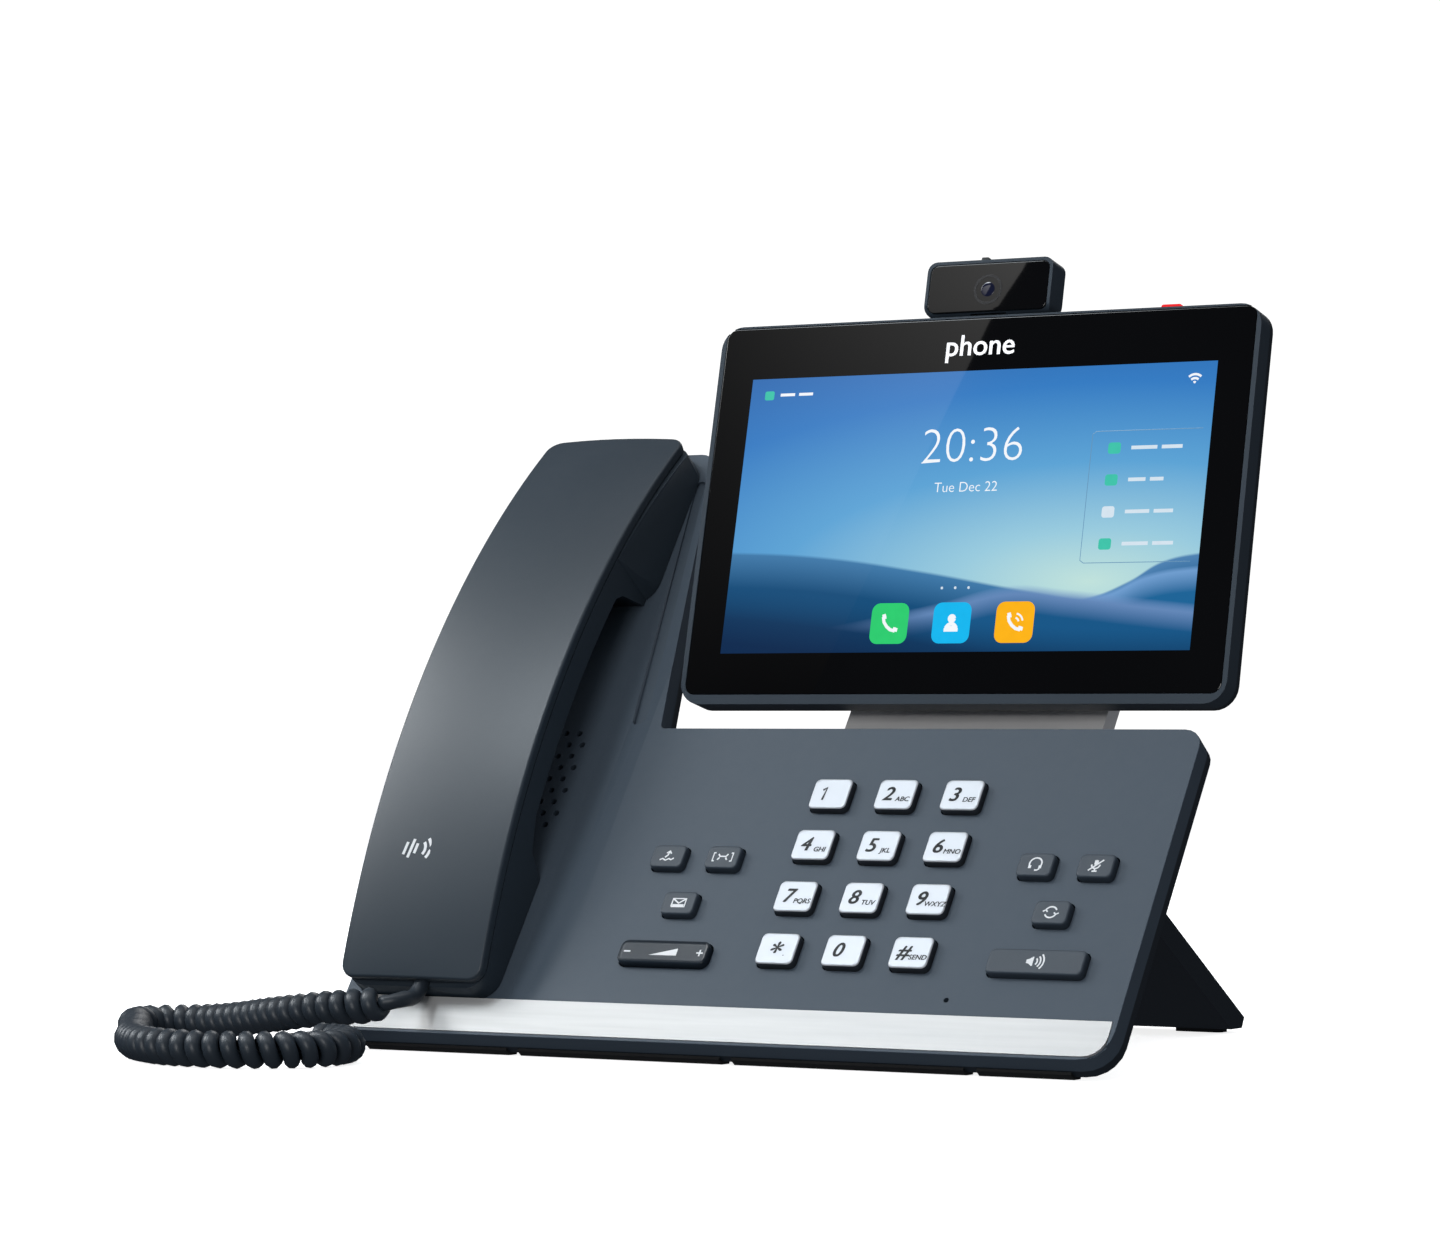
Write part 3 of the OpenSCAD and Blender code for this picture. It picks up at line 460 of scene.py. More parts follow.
# %% The ridges, each as points, crest, mist, depth and edge
RIDGES = [([(0, 0.02), (0.78, 0.185), (0.86, 0.24), (0.93, 0.31), (1, 0.335)],
           (0.085, 0.24, 0.48), (0.015, 0.13, 0.31), 0.09, 110.0),
          ([(0, 0.02), (0.7, 0.17), (0.82, 0.205), (0.9, 0.265), (1, 0.29)],
           (0.20, 0.40, 0.72), (0.010, 0.13, 0.32), 0.09, 60.0),
          ([(0, 0.368), (0.2, 0.346), (0.42, 0.29), (0.62, 0.225), (0.8, 0.17), (1, 0.13)],
           (0.055, 0.21, 0.43), (0.004, 0.075, 0.20), 0.13, 90.0),
          ([(0, 0.02), (0.46, 0.17), (0.62, 0.232), (0.74, 0.214), (0.86, 0.188), (1, 0.16)],
           (0.19, 0.33, 0.62), (0.006, 0.095, 0.25), 0.10, 30.0),
          ([(0, 0.24), (0.3, 0.18), (0.6, 0.10), (1, 0.07)],
           (0.003, 0.055, 0.155), (0.001, 0.022, 0.080), 0.20, 9.0)]
for points, crest, mist, depth, edge in RIDGES:
    ridge = tree.nodes.new("ShaderNodeFloatCurve")
    curve = ridge.mapping.curves[0]
    while len(curve.points) < len(points):
        curve.points.new(0.5, 0.5)
    for point, (x, y) in zip(curve.points, points):
        point.location = (x, y)
    ridge.mapping.update()
    tree.links.new(across, ridge.inputs["Value"])
    below = maths(tree, "SUBTRACT", ridge.outputs["Value"], up)
    inside = maths(tree, "MULTIPLY", below, edge, clamp=True)
    faded = maths(tree, "DIVIDE", below, depth, clamp=True)
    painted = blended(tree, inside, painted, blended(tree, faded, crest, mist))
tree.links.new(painted, principled.inputs["Emission Color"])
tuned(picture, Emission_Strength=1.0, Base_Color=(0.002, 0.002, 0.003, 1), Roughness=0.12,
      Coat_Weight=1.0, Coat_Roughness=0.015)
print("picture has", len(RIDGES), "ridges under its sky")

# %% [markdown]
# ## Making pieces
# Every new piece is drawn in millimetres on its own plane, then finished the same way: put in its
# place, given smooth shading that stops at sharp edges, and made to ride on its CAD body.

# %% Finishing a piece


def settled(name, mesh, body, finishes, slot=None, stands_for=(), smooth=32, level=True):
    """A finished piece from a mesh in its place; level keeps big faces flat in the light."""
    for finish in finishes:
        mesh.materials.append(finish)
    mesh.shade_smooth()
    mesh.set_sharp_from_angle(angle=math.radians(smooth))
    piece = bpy.data.objects.new(name, mesh)
    bpy.context.scene.collection.objects.link(piece)
    if level:
        leveller = piece.modifiers.new("level_faces", "WEIGHTED_NORMAL")
        leveller.mode, leveller.weight, leveller.keep_sharp = "FACE_AREA", 100, True
    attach(piece, body)
    if stands_for:
        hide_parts(*stands_for)
    return piece


def made(name, shape, plane, body, finishes, **more):
    """A finished piece from a bmesh drawn in mm on a plane."""
    bmesh.ops.recalc_face_normals(shape, faces=shape.faces)
    shape.transform(plane)
    mesh = bpy.data.meshes.new(name)
    shape.to_mesh(mesh)
    shape.free()
    return settled(name, mesh, body, finishes, **more)


def rounded_edges(shape, edges, width, segments=3):
    """Rounds the given edges, if there are any."""
    if edges:
        bmesh.ops.bevel(shape, geom=list(edges), offset=width, offset_type="OFFSET", segments=segments,
                        profile=0.5, affect="EDGES", clamp_overlap=True, material=-1)


print("a piece is finished by settled() or made()")

# %% [markdown]
# Real mouldings have no razor edges: even a tight one is rounded by a fraction of a millimetre, and
# that is where it catches the light. A Bevel modifier would round every edge alike. Here a copy of
# the CAD shell is cleaned, and a rule picks which of its sharp edges each pass of the bevel rounds.

# %% Softening a moulded shell
MERGE, NEARLY_FLAT, SHARP = 0.001, math.radians(0.5), math.radians(35)


def softened(node, plane, passes, body, finishes, slot, name=None, smooth=32):
    """A copy of a CAD shell, rounded in passes, each of them a rule, a width and a number of segments."""
    shape = bmesh.new()
    shape.from_mesh(nodes[node].data)
    shape.transform(plane.inverted())
    bmesh.ops.remove_doubles(shape, verts=shape.verts, dist=MERGE)
    bmesh.ops.dissolve_limit(shape, angle_limit=NEARLY_FLAT, verts=shape.verts, edges=shape.edges)
    for rule, width, segments in passes:
        chosen = [e for e in shape.edges if len(e.link_faces) == 2
                  and e.calc_face_angle(0) > SHARP
                  and rule((e.verts[0].co + e.verts[1].co) / 2, e)]
        rounded_edges(shape, chosen, width, segments)
    shape.transform(plane)
    mesh = bpy.data.meshes.new(node)
    shape.to_mesh(mesh)
    shape.free()
    return settled(name or node + "_softened", mesh, body, finishes, slot=slot, stands_for=[node],
                   smooth=smooth)


def flat_at(height, spread=0.05):
    """A rule for edges that lie in one plane of the piece."""
    return lambda middle, e: all(abs(v.co.z - height) < spread for v in e.verts)


print("edges sharper than", round(math.degrees(SHARP)), "degrees may be rounded")


# %% [markdown]
# ## Base
# The front cover is one L-shaped moulding: keypad face, cradle trough and finger groove. Its outline
# has a clearly rounded edge, and the key windows a much finer one, so the two are rounded apart.
# The rear cover is darker and its service box stands out behind.

# %% Base covers
LEFT, RIGHT, FACE_TOP, COLUMN_TOP = -172.5, 84.0, 110.0, 218.0


def on_outline(middle, e):
    """A rule for edges on the outline of the L, the slanting side of the column included."""
    near_edge = min(middle.x - LEFT, RIGHT - middle.x, middle.y, COLUMN_TOP - middle.y) < 3.5
    column_side = -94.9 - (middle.y - FACE_TOP) * 0.175
    shoulder = middle.y > FACE_TOP - 1 and middle.x > -120 and middle.x - column_side > -0.6
    return near_edge or shoulder


front_cover = softened("base_front_cover", SLAB, [
    (lambda m, e: flat_at(0)(m, e) and on_outline(m, e), 1.1, 3),
    (lambda m, e: flat_at(0)(m, e) and not on_outline(m, e) and m.y > 14 and m.x > -98, 0.25, 2)],
    "base", [slate], "slate_shell")
rear_cover = softened("base_rear_cover", SLAB, [
    (lambda m, e: on_outline(m, e) and (flat_at(-11)(m, e) or flat_at(-9)(m, e)), 0.8, 2),
    (lambda m, e: flat_at(-31)(m, e) and (abs(m.x + 18) > 60 or abs(m.y - 54) > 26), 1.6, 3)],
    "base", [slate_dark], "slate_dark_shell")
print("front cover", len(front_cover.data.polygons), "faces, rear cover", len(rear_cover.data.polygons))

# %% [markdown]
# ## Keys
# A dial key is a silver cap whose sides take a dark finish that paints the shade on them. The plate's edge
# is rounded finely, its upright corners more, and its face dips a little towards the middle so that it
# catches the light unevenly. One cap is shaped from a cube by bevels; the faces that look out of the slab
# become silver, the rest painted shade.

# %% Key caps
DIAL = [("1", ""), ("2", "ABC"), ("3", "DEF"), ("4", "GHI"), ("5", "JKL"), ("6", "MNO"),
        ("7", "PQRS"), ("8", "TUV"), ("9", "WXYZ"), ("star", "."), ("0", ""), ("hash", "SEND")]
SIDE = {"transfer": (-74.6, 62.4, 11, 7.9), "conference": (-56, 62.4, 11, 7.9),
        "message": (-65.3, 46.2, 11, 7.9), "headset": (45.7, 61.8, 11, 7.9),
        "mute": (64.4, 61.8, 11, 7.9), "redial": (55, 46, 11, 7.9), "speaker": (55, 29.7, 29.8, 8.2)}
ROCKER = (-64.8, 29.3, 29.8, 8.0)
KEY_TOP, KEY_BELOW = 2.2, 2.7


def dial_place(i):
    """Middle of the i-th dial key, three to a row."""
    return -27.5 + (i % 3) * 21.5, 85.2 - (i // 3) * 17.9


def cap_shape(x, y, wide, high, corner, top, edge, dip=0.0):
    """A key's cap, from below the face to its top, with a face that dips a little."""
    shape = bmesh.new()
    bmesh.ops.create_cube(shape, size=1.0)
    bmesh.ops.scale(shape, vec=(wide, high, top + KEY_BELOW), verts=shape.verts)
    upright = [e for e in shape.edges if abs(e.verts[0].co.z - e.verts[1].co.z) > 1]
    rounded_edges(shape, upright, corner, 5)
    highest = max(v.co.z for v in shape.verts)
    rim = [e for e in shape.edges if all(v.co.z > highest - 0.01 for v in e.verts)]
    rounded_edges(shape, rim, edge, 3)
    if dip:
        face = max(shape.faces, key=lambda f: f.calc_center_median().z + f.calc_area() * 0.001)
        bmesh.ops.inset_region(shape, faces=[face], thickness=0.8)
        bmesh.ops.translate(shape, vec=(0, 0, -dip), verts=face.verts)
    bmesh.ops.translate(shape, vec=(x, y, (top - KEY_BELOW) / 2), verts=shape.verts)
    return shape


def silver_tops_shaded_sides(piece, plane_up, limit):
    """The faces that look out of the slab take the second finish; the rest keep the first, on the dial keys
    a painted shade.
    """
    for face in piece.data.polygons:
        face.material_index = 1 if face.normal.dot(plane_up) > limit else 0


print("dial keys go from", dial_place(0), "to", dial_place(11))

# %% Caps on their keys
SLAB_OUT = Vector((0, -math.sin(math.radians(SLAB_LEAN)), math.cos(math.radians(SLAB_LEAN))))
for i, (digit, _) in enumerate(DIAL):
    cap = made("cap_" + digit, cap_shape(*dial_place(i), 12.4, 10.5, 1.7, KEY_TOP, 0.55, dip=0.06), SLAB,
               "key_" + digit, [key_side_painted_shade, key_silver], slot="dial_silver", stands_for=["key_" + digit])
    # Silver on the faces that look out of the slab, painted shade on the sides.
    silver_tops_shaded_sides(cap, SLAB_OUT, 0.35)
for name, (x, y, wide, high) in SIDE.items():
    made("cap_" + name, cap_shape(x, y, wide, high, 1.6, KEY_TOP, 0.6, dip=0.05), SLAB, "key_" + name,
         [slate_key], slot="side_key_slate", stands_for=["key_" + name])
made("rocker_cap", cap_shape(*ROCKER, 2.3, KEY_TOP - 0.1, 0.6, dip=0.25), SLAB, "volume_rocker",
     [rocker_gloss], slot="rocker_gloss", stands_for=["volume_rocker"])
print("made", len(DIAL) + len(SIDE) + 1, "key caps")

# %% [markdown]
# Legends are ink, a few hundredths of a millimetre thick. Letters come from text made into a mesh;
# the small signs are drawn as pen strokes, which are curves with a round nib, pressed flat.

# %% Lettering and pen strokes
TEXT_RISE, STROKE_THICK = 0.012, 0.03


def drawn_flat(name, curve, x, y, z, plane, body, finish, squeeze=1.0, bold=0.0):
    """A text or curve made a mesh, pressed flat, put on a plane at (x, y, z) mm; bold strikes it thrice."""
    maker = bpy.data.objects.new(name + "_drawn", curve)
    bpy.context.scene.collection.objects.link(maker)
    depsgraph = bpy.context.evaluated_depsgraph_get()
    mesh = bpy.data.meshes.new_from_object(maker.evaluated_get(depsgraph))
    bpy.data.objects.remove(maker)
    if bold:
        struck = bmesh.new()
        for dx, dy in ((-bold, -bold / 2), (0, bold / 2), (bold, -bold / 2)):
            mesh.transform(Matrix.Translation((dx, dy, 0)))
            struck.from_mesh(mesh)
            mesh.transform(Matrix.Translation((-dx, -dy, 0)))
        struck.to_mesh(mesh)
        struck.free()
    mesh.transform(plane @ Matrix.Translation((x, y, z)) @ Matrix.Scale(squeeze, 4, (0, 0, 1)))
    return settled(name, mesh, body, [finish], level=False)


def lettering(name, words, size, x, y, z, plane, body, finish, slant=0.0, thin=0.0, bold=0.0):
    """Printed words, centred on their place."""
    text = bpy.data.curves.new(name, "FONT")
    text.body, text.size, text.shear, text.offset = words, size, slant, thin
    text.extrude, text.resolution_u = TEXT_RISE, 4
    text.align_x = text.align_y = "CENTER"
    return drawn_flat(name, text, x, y, z, plane, body, finish, bold=bold)


def strokes(name, paths, nib, x, y, z, plane, body, finish):
    """Pen strokes: each path is a list of (x, y) in mm round the sign's own middle."""
    curve = bpy.data.curves.new(name, "CURVE")
    curve.dimensions, curve.bevel_depth, curve.bevel_resolution = "3D", nib / 2, 1
    curve.use_fill_caps = True
    for path in paths:
        spline = curve.splines.new("POLY")
        spline.points.add(len(path) - 1)
        for point, place in zip(spline.points, path):
            point.co = (*place, 0, 1)
    return drawn_flat(name, curve, x, y, z, plane, body, finish, squeeze=STROKE_THICK / nib)


def arc(x, y, r, start, end, steps=10):
    """Points on an arc, its angles in degrees."""
    return [(x + r * math.cos(math.radians(start + (end - start) * i / steps)),
             y + r * math.sin(math.radians(start + (end - start) * i / steps))) for i in range(steps + 1)]


print("letters stand", TEXT_RISE, "mm proud, strokes are", STROKE_THICK, "mm thick")

# %% Dial legends
for i, (digit, letters) in enumerate(DIAL):
    x, y = dial_place(i)
    sign = {"star": "*", "hash": "#"}.get(digit, digit)
    left = {"1": -1.9, "0": -1.9, "star": -1.0}.get(digit, -2.4)
    drop = -1.4 if digit == "star" else -0.1
    size = 8.6 if digit == "star" else 6.6
    if digit == "1":
        strokes("digit_1", [[(-0.85, 1.25), (0.35, 2.15), (-0.25, -2.15)]], 0.75, x + left, y + drop,
                KEY_TOP, SLAB, "key_1", black_ink)
    else:
        lettering("digit_" + digit, sign, size, x + left, y + drop, KEY_TOP, SLAB, "key_" + digit,
                  black_ink, slant=0.22, bold=0.17)
    if letters:
        lettering("letters_" + digit, letters, 2.3, x + 2.6, y - 1.7, KEY_TOP, SLAB, "key_" + digit,
                  black_ink, slant=0.15, bold=0.05)
print("dial legends on", len(DIAL), "keys")

# %% Signs of the function keys
SIGNS = {
    "transfer": [[(-2.4, -1.4), (-1.6, -0.9), (-0.4, -1.5), (0.6, -0.9), (1.4, -1.3), (2.2, -0.7)],
                 [(-0.9, -0.5), (-0.1, 0.3), (0.2, 1.7)], [(-0.7, 1.0), (0.2, 1.8), (0.9, 0.8)]],
    "conference": [[(-2.6, 1.4), (-3.2, 1.4), (-3.2, -1.4), (-2.6, -1.4)],
                   [(2.6, 1.4), (3.2, 1.4), (3.2, -1.4), (2.6, -1.4)],
                   [(-1.6, 1.0), (-1.0, 0.2), (1.0, 0.2), (1.6, 1.0)],
                   [(-1.6, -1.0), (-1.0, -0.2)], [(1.0, -0.2), (1.6, -1.0)]],
    "message": [[(-2.2, -1.4), (2.2, -1.4), (2.2, 1.4), (-2.2, 1.4), (-2.2, -1.4)],
                [(-2.1, 1.3), (0, -0.2), (2.1, 1.3)], [(-1.9, -1.1), (1.9, -1.1)],
                [(-1.9, -0.8), (1.9, -0.8)]],
    "headset": [arc(0, 0.3, 1.9, -25, 205, 12), [(-1.8, -0.3), (-1.8, -1.3)],
                [(-1.4, -0.3), (-1.4, -1.3)], [(1.8, -0.3), (1.8, -1.3)], [(1.4, -0.3), (1.4, -1.3)],
                [(1.6, -1.4), (0.9, -1.9), (0.1, -1.9)]],
    "mute": [[(0, 1.8), (0, 0.1)], [(-0.35, 1.7), (-0.35, 0.3)], [(0.35, 1.7), (0.35, 0.3)],
             arc(0, 0.3, 1.3, 180, 360, 8), [(0, -1.0), (0, -1.9)], [(-0.8, -1.9), (0.8, -1.9)],
             [(-2.0, -1.7), (2.1, 1.9)]],
    "redial": [arc(0, 0, 1.8, 25, 160, 9), arc(0, 0, 1.8, 205, 340, 9),
               [(-2.5, 0.2), (-1.7, 0.7), (-1.0, 0.1)], [(2.5, -0.2), (1.7, -0.7), (1.0, -0.1)]],
    "speaker": [[(-2.6, 0.6), (-2.6, -0.6)], [(-2.2, 0.7), (-2.2, -0.7)], [(-1.8, 0.9), (-1.8, -0.9)],
                [(-1.4, 1.2), (-1.4, -1.2)], [(-1.0, 1.5), (-1.0, -1.5)],
                arc(-1.0, 0, 1.5, -42, 42, 6), arc(-1.0, 0, 2.5, -42, 42, 7), arc(-1.0, 0, 3.5, -42, 42, 8)],
}
for name, paths in SIGNS.items():
    x, y = SIDE[name][:2]
    strokes("sign_" + name, paths, 0.5, x, y, KEY_TOP - 0.03, SLAB, "key_" + name, white_ink)
print("signs on", len(SIGNS), "keys")

# %% Signs of the volume rocker
ROCKER_X, ROCKER_Y = ROCKER[:2]
ROCKER_FACE = KEY_TOP - 0.33
strokes("sign_softer", [[(-1.1, 0), (1.1, 0)]], 0.5, ROCKER_X - 12.2, ROCKER_Y, ROCKER_FACE, SLAB,
        "volume_rocker", white_ink)
strokes("sign_louder", [[(-1.1, 0), (1.1, 0)], [(0, -1.1), (0, 1.1)]], 0.5, ROCKER_X + 12.2, ROCKER_Y,
        ROCKER_FACE, SLAB, "volume_rocker", white_ink)
wedge = bmesh.new()
corners = [wedge.verts.new(c) for c in ((-4.6, -1.1, 0), (4.6, -1.1, 0), (4.6, 1.3, 0))]
wedge.faces.new(corners)
bmesh.ops.extrude_face_region(wedge, geom=wedge.faces[:])
bmesh.ops.translate(wedge, vec=(0, 0, 0.03), verts=wedge.verts[-3:])
bmesh.ops.translate(wedge, vec=(ROCKER_X, ROCKER_Y, KEY_TOP - 0.36), verts=wedge.verts)
made("sign_level", wedge, SLAB, "volume_rocker", [white_ink])
print("three signs on the rocker")

# %% [markdown]
# ## Display
# The casing keeps its CAD shape with softened rims. The lit picture is a thin sheet laid on the
# glass, with a UV map from its own corners, and the clock, tiles and small signs are lit ink on it.

# %% Casing and glass
casing = softened("display_frame", GLASS, [
    (lambda m, e: (flat_at(0)(m, e) or flat_at(-6.5)(m, e))
     and (abs(m.x) > 86 or m.y > 58.7 or m.y < -57), 0.7, 3)],
    "display", [slate_case], "slate_shell")
back_cover = softened("display_rear_cover", GLASS, [
    (lambda m, e: flat_at(-11.5)(m, e) and (abs(m.x) > 84 or m.y > 56 or m.y < -54), 1.2, 3)],
    "display", [slate_dark], "slate_dark_shell")
cover_glass = softened("display_glass", GLASS, [(flat_at(0), 0.3, 2)], "display", [black_glass],
                       "dark_glass")
print("casing, back cover and glass have", [len(p.data.polygons) for p in (casing, back_cover, cover_glass)],
      "faces")

# %% Lit picture
LIT = (154.2, 85.9)
SHEET_RISE, SHEET_THICK = 0.03, 0.02
sheet = bmesh.new()
bmesh.ops.create_grid(sheet, x_segments=8, y_segments=4, size=0.5)
bmesh.ops.scale(sheet, vec=(*LIT, 1), verts=sheet.verts)
bmesh.ops.translate(sheet, vec=(0, 0, SHEET_RISE), verts=sheet.verts)
lit_uv = sheet.loops.layers.uv.new("picture")
for face in sheet.faces:
    for corner in face.loops:
        corner[lit_uv].uv = (corner.vert.co.x / LIT[0] + 0.5, corner.vert.co.y / LIT[1] + 0.5)
bmesh.ops.solidify(sheet, geom=sheet.faces[:], thickness=SHEET_THICK)
made("lit_picture", sheet, GLASS, "display", [picture], slot="lit_panel")
print("picture is", LIT, "mm")

# %% [markdown]
# What the screen shows on top of its picture is drawn like the legends: words, strokes and tiles a
# few hundredths of a millimetre thick. They could be painted in the shader as well, but as pieces
# they stay sharp, and each glows in a colour of its own.

# %% Lit inks and tiles
PAPER, OVER_TILE, TILE_THICK = 0.07, 0.09, 0.02
lit_white = inked("lit_white", (0.93, 0.96, 1.0), glow=1.0, rough=0.15)
lit_soft = inked("lit_soft", (0.68, 0.79, 0.88), glow=1.0, rough=0.15)
lit_green = inked("lit_green", (0.02, 0.62, 0.16), glow=1.0, rough=0.15)
lit_mint = inked("lit_mint", (0.05, 0.62, 0.45), glow=0.9, rough=0.15)
lit_cyan = inked("lit_cyan", (0.0, 0.48, 0.88), glow=1.0, rough=0.15)
lit_amber = inked("lit_amber", (1.0, 0.46, 0.0), glow=1.0, rough=0.15)


def tile(name, x, y, wide, high, corner, finish):
    """A flat tile with rounded corners."""
    shape = bmesh.new()
    bmesh.ops.create_grid(shape, x_segments=1, y_segments=1, size=0.5)
    bmesh.ops.scale(shape, vec=(wide, high, 1), verts=shape.verts)
    bmesh.ops.bevel(shape, geom=shape.verts[:], offset=corner, segments=5, profile=0.5, affect="VERTICES",
                    material=-1)
    bmesh.ops.solidify(shape, geom=shape.faces[:], thickness=TILE_THICK)
    bmesh.ops.translate(shape, vec=(x, y, PAPER), verts=shape.verts)
    return made(name, shape, GLASS, "display", [finish])


def lit_strokes(name, paths, nib, finish, x=0, y=0, z=PAPER):
    """Pen strokes on the screen."""
    return strokes(name, paths, nib, x, y, z, GLASS, "display", finish)


print("lit signs lie", PAPER, "mm over the glass")

# %% Clock, date and application tiles
APP_STEP, APP_Y = 20.6, -34.2
# The bezel word is printed ink with a painted glow.
lettering("bezel_word", "phone", 9.2, -0.5, 50.6, 0.02, GLASS, "display", bezel_ink_painted_light, bold=0.12)
lettering("clock", "20:36", 15.6, 0.6, 19.4, PAPER, GLASS, "display", lit_white, thin=-0.30)
lettering("date_line", "Tue Dec 22", 4.4, -0.2, 7.0, PAPER, GLASS, "display", lit_white, thin=-0.05)
for i, (finish, x) in enumerate(((lit_green, -APP_STEP), (lit_cyan, 0.0), (lit_amber, APP_STEP))):
    tile("app_tile_%d" % (i + 1), x, APP_Y, 12.4, 12.4, 2.6, finish)
RECEIVER = [[(-2.2, 2.0), (-1.8, 0.4), (-0.8, -0.9), (0.5, -1.9), (2.1, -2.3)],
            [(-2.5, 2.2), (-1.4, 2.5)], [(-2.4, 1.7), (-1.2, 2.0)],
            [(2.3, -2.5), (2.5, -1.4)], [(1.8, -2.4), (2.0, -1.2)]]
for i, x in ((1, -APP_STEP), (3, APP_STEP)):
    lit_strokes("app_sign_%d" % i, RECEIVER, 1.0, lit_white, x, APP_Y, OVER_TILE)
lit_strokes("app_waves", [arc(APP_STEP, APP_Y, r, 10, 80, 6) for r in (1.3, 2.6)], 0.55, lit_white,
            z=OVER_TILE)
lit_strokes("app_sign_2", [arc(0, 1.3, 0.8, 0, 360, 14), arc(0, 1.3, 0.3, 0, 360, 8),
                           [(-2.3, -2.1), (2.3, -2.1)], [(-2.1, -1.5), (2.1, -1.5)],
                           arc(0, -2.0, 1.7, 20, 160, 8)], 1.1, lit_white, 0, APP_Y, OVER_TILE)
print("three application tiles,", APP_STEP, "mm apart")

# %% Small signs of the screen
lit_strokes("page_dots", [arc(x, -23.6, 0.22, 0, 360, 8) for x in (-4.4, 0, 4.4)], 0.45, lit_soft)
lit_strokes("signal_sign", [arc(70.4, 36.2, r, 48, 132, 7) for r in (0.5, 1.7, 2.9)], 0.7, lit_white)
tile("line_chip", -70.6, 37.6, 3.2, 2.8, 0.6, lit_mint)
lit_strokes("line_name", [[(-66.8, 37.7), (-61.8, 37.7)], [(-60.4, 37.7), (-55.6, 37.7)]], 0.9, lit_white)
for i, (y, wide) in enumerate(((17.6, 15), (8.0, 10), (-1.6, 14), (-11.2, 15))):
    tile("side_chip_%d" % (i + 1), 47.0, y, 4.0, 3.4, 0.8, lit_mint if i != 2 else lit_soft)
    lit_strokes("side_name_%d" % (i + 1), [[(52.4, y), (52.4 + wide * 0.55, y)],
                                           [(53.8 + wide * 0.55, y), (53.6 + wide, y)]], 1.1, lit_soft)
card_edge = inked("card_edge", (0.16, 0.36, 0.58), glow=0.8, rough=0.15)
lit_strokes("side_card_edge", [[(39.6, 22), (40.8, 22.8), (74.5, 22.8)],
                               [(39.6, 22), (39.6, -16), (40.8, -16.8), (74.5, -16.8)]], 0.22, card_edge)
print("four names on the side card")

# %% [markdown]
# ## Camera on top
# A small block with a black window, a lens in a thin ring behind it, and a shutter lever on top. The
# window is opaque, so the ring and the lens are laid on it, a few hundredths of a millimetre proud:
# a circle drawn out into a flat ring, and a ball pressed almost flat, which still shines like a lens.

# %% Camera housing and window
CAM_X, CAM_Y, CAM_FRONT, CAM_DEEP = -0.4, 69.1, -0.6, 8.6
camera_shell = softened("camera_housing", GLASS, [
    (lambda m, e: (flat_at(CAM_FRONT)(m, e) or flat_at(CAM_FRONT - CAM_DEEP)(m, e)) and
     (abs(m.x - CAM_X) > 19 or abs(m.y - CAM_Y) > 7.8), 0.55, 3)], "camera", [slate_case], "slate_shell")
window = softened("camera_window", GLASS, [(flat_at(-0.7), 0.25, 2)], "camera", [black_glass], "dark_glass")
print("camera shell and window have", [len(p.data.polygons) for p in (camera_shell, window)], "faces")

# %% Ring and lens
LENS_Y = CAM_Y - 0.7
ring = bmesh.new()
bmesh.ops.create_circle(ring, segments=48, radius=3.9)
outer = bmesh.ops.extrude_edge_only(ring, edges=ring.edges[:])
moved = [v for v in outer["geom"] if isinstance(v, bmesh.types.BMVert)]
bmesh.ops.scale(ring, vec=(1.2, 1.2, 1), verts=moved)
bmesh.ops.solidify(ring, geom=ring.faces[:], thickness=0.04)
bmesh.ops.translate(ring, vec=(CAM_X, LENS_Y, -0.67), verts=ring.verts)
made("lens_ring", ring, GLASS, "camera", [lens_ring], slot="dark_glass")
bead = bmesh.new()
bmesh.ops.create_uvsphere(bead, u_segments=32, v_segments=16, radius=2.6)
bmesh.ops.scale(bead, vec=(0.85, 0.85, 0.03), verts=bead.verts)
bmesh.ops.translate(bead, vec=(CAM_X, LENS_Y, -0.66), verts=bead.verts)
made("lens_bead", bead, GLASS, "camera", [lens_glass], slot="dark_glass")
print("lens at", (CAM_X, round(LENS_Y, 1)), "mm of the glass plane")

# %% [markdown]
# ## Handset
# The back of the handset is one long arch with a wide soft shoulder. A flat strip spun round the
# arch's far centre gives that exactly; its corners are then rounded by bevels, the upright ones
# first, then the shoulder all round. The inner shell keeps its CAD shape with softened edges.

# %% Handset back, spun along its arch
MIDDLE, ARCH_R, ARCH_TOP = -144.0, 311.0, 26.0
LOW, HIGH = 13.2, 216.5
HALF_WIDE, SKIRT, CROWN = 25, 4.2, 1.1
ARCH_V = (LOW + HIGH) / 2 + 0.5
ARCH_CENTRE = (MIDDLE, ARCH_V, ARCH_TOP - ARCH_R)
back = bmesh.new()
low_angle = math.asin((LOW - ARCH_V) / ARCH_R)
high_angle = math.asin((HIGH - ARCH_V) / ARCH_R)
bmesh.ops.create_grid(back, x_segments=8, y_segments=1, size=0.5)
bmesh.ops.scale(back, vec=(2 * HALF_WIDE, SKIRT, 1), verts=back.verts)
for v in back.verts:
    if v.co.y > 0:
        v.co.y -= CROWN * (v.co.x / HALF_WIDE) ** 2
bmesh.ops.rotate(back, cent=(0, 0, 0), matrix=Matrix.Rotation(math.radians(90), 3, "X"), verts=back.verts)
bmesh.ops.translate(back, vec=(MIDDLE, ARCH_V, ARCH_TOP - SKIRT / 2), verts=back.verts)
bmesh.ops.rotate(back, cent=ARCH_CENTRE, matrix=Matrix.Rotation(-low_angle, 3, "X"), verts=back.verts)
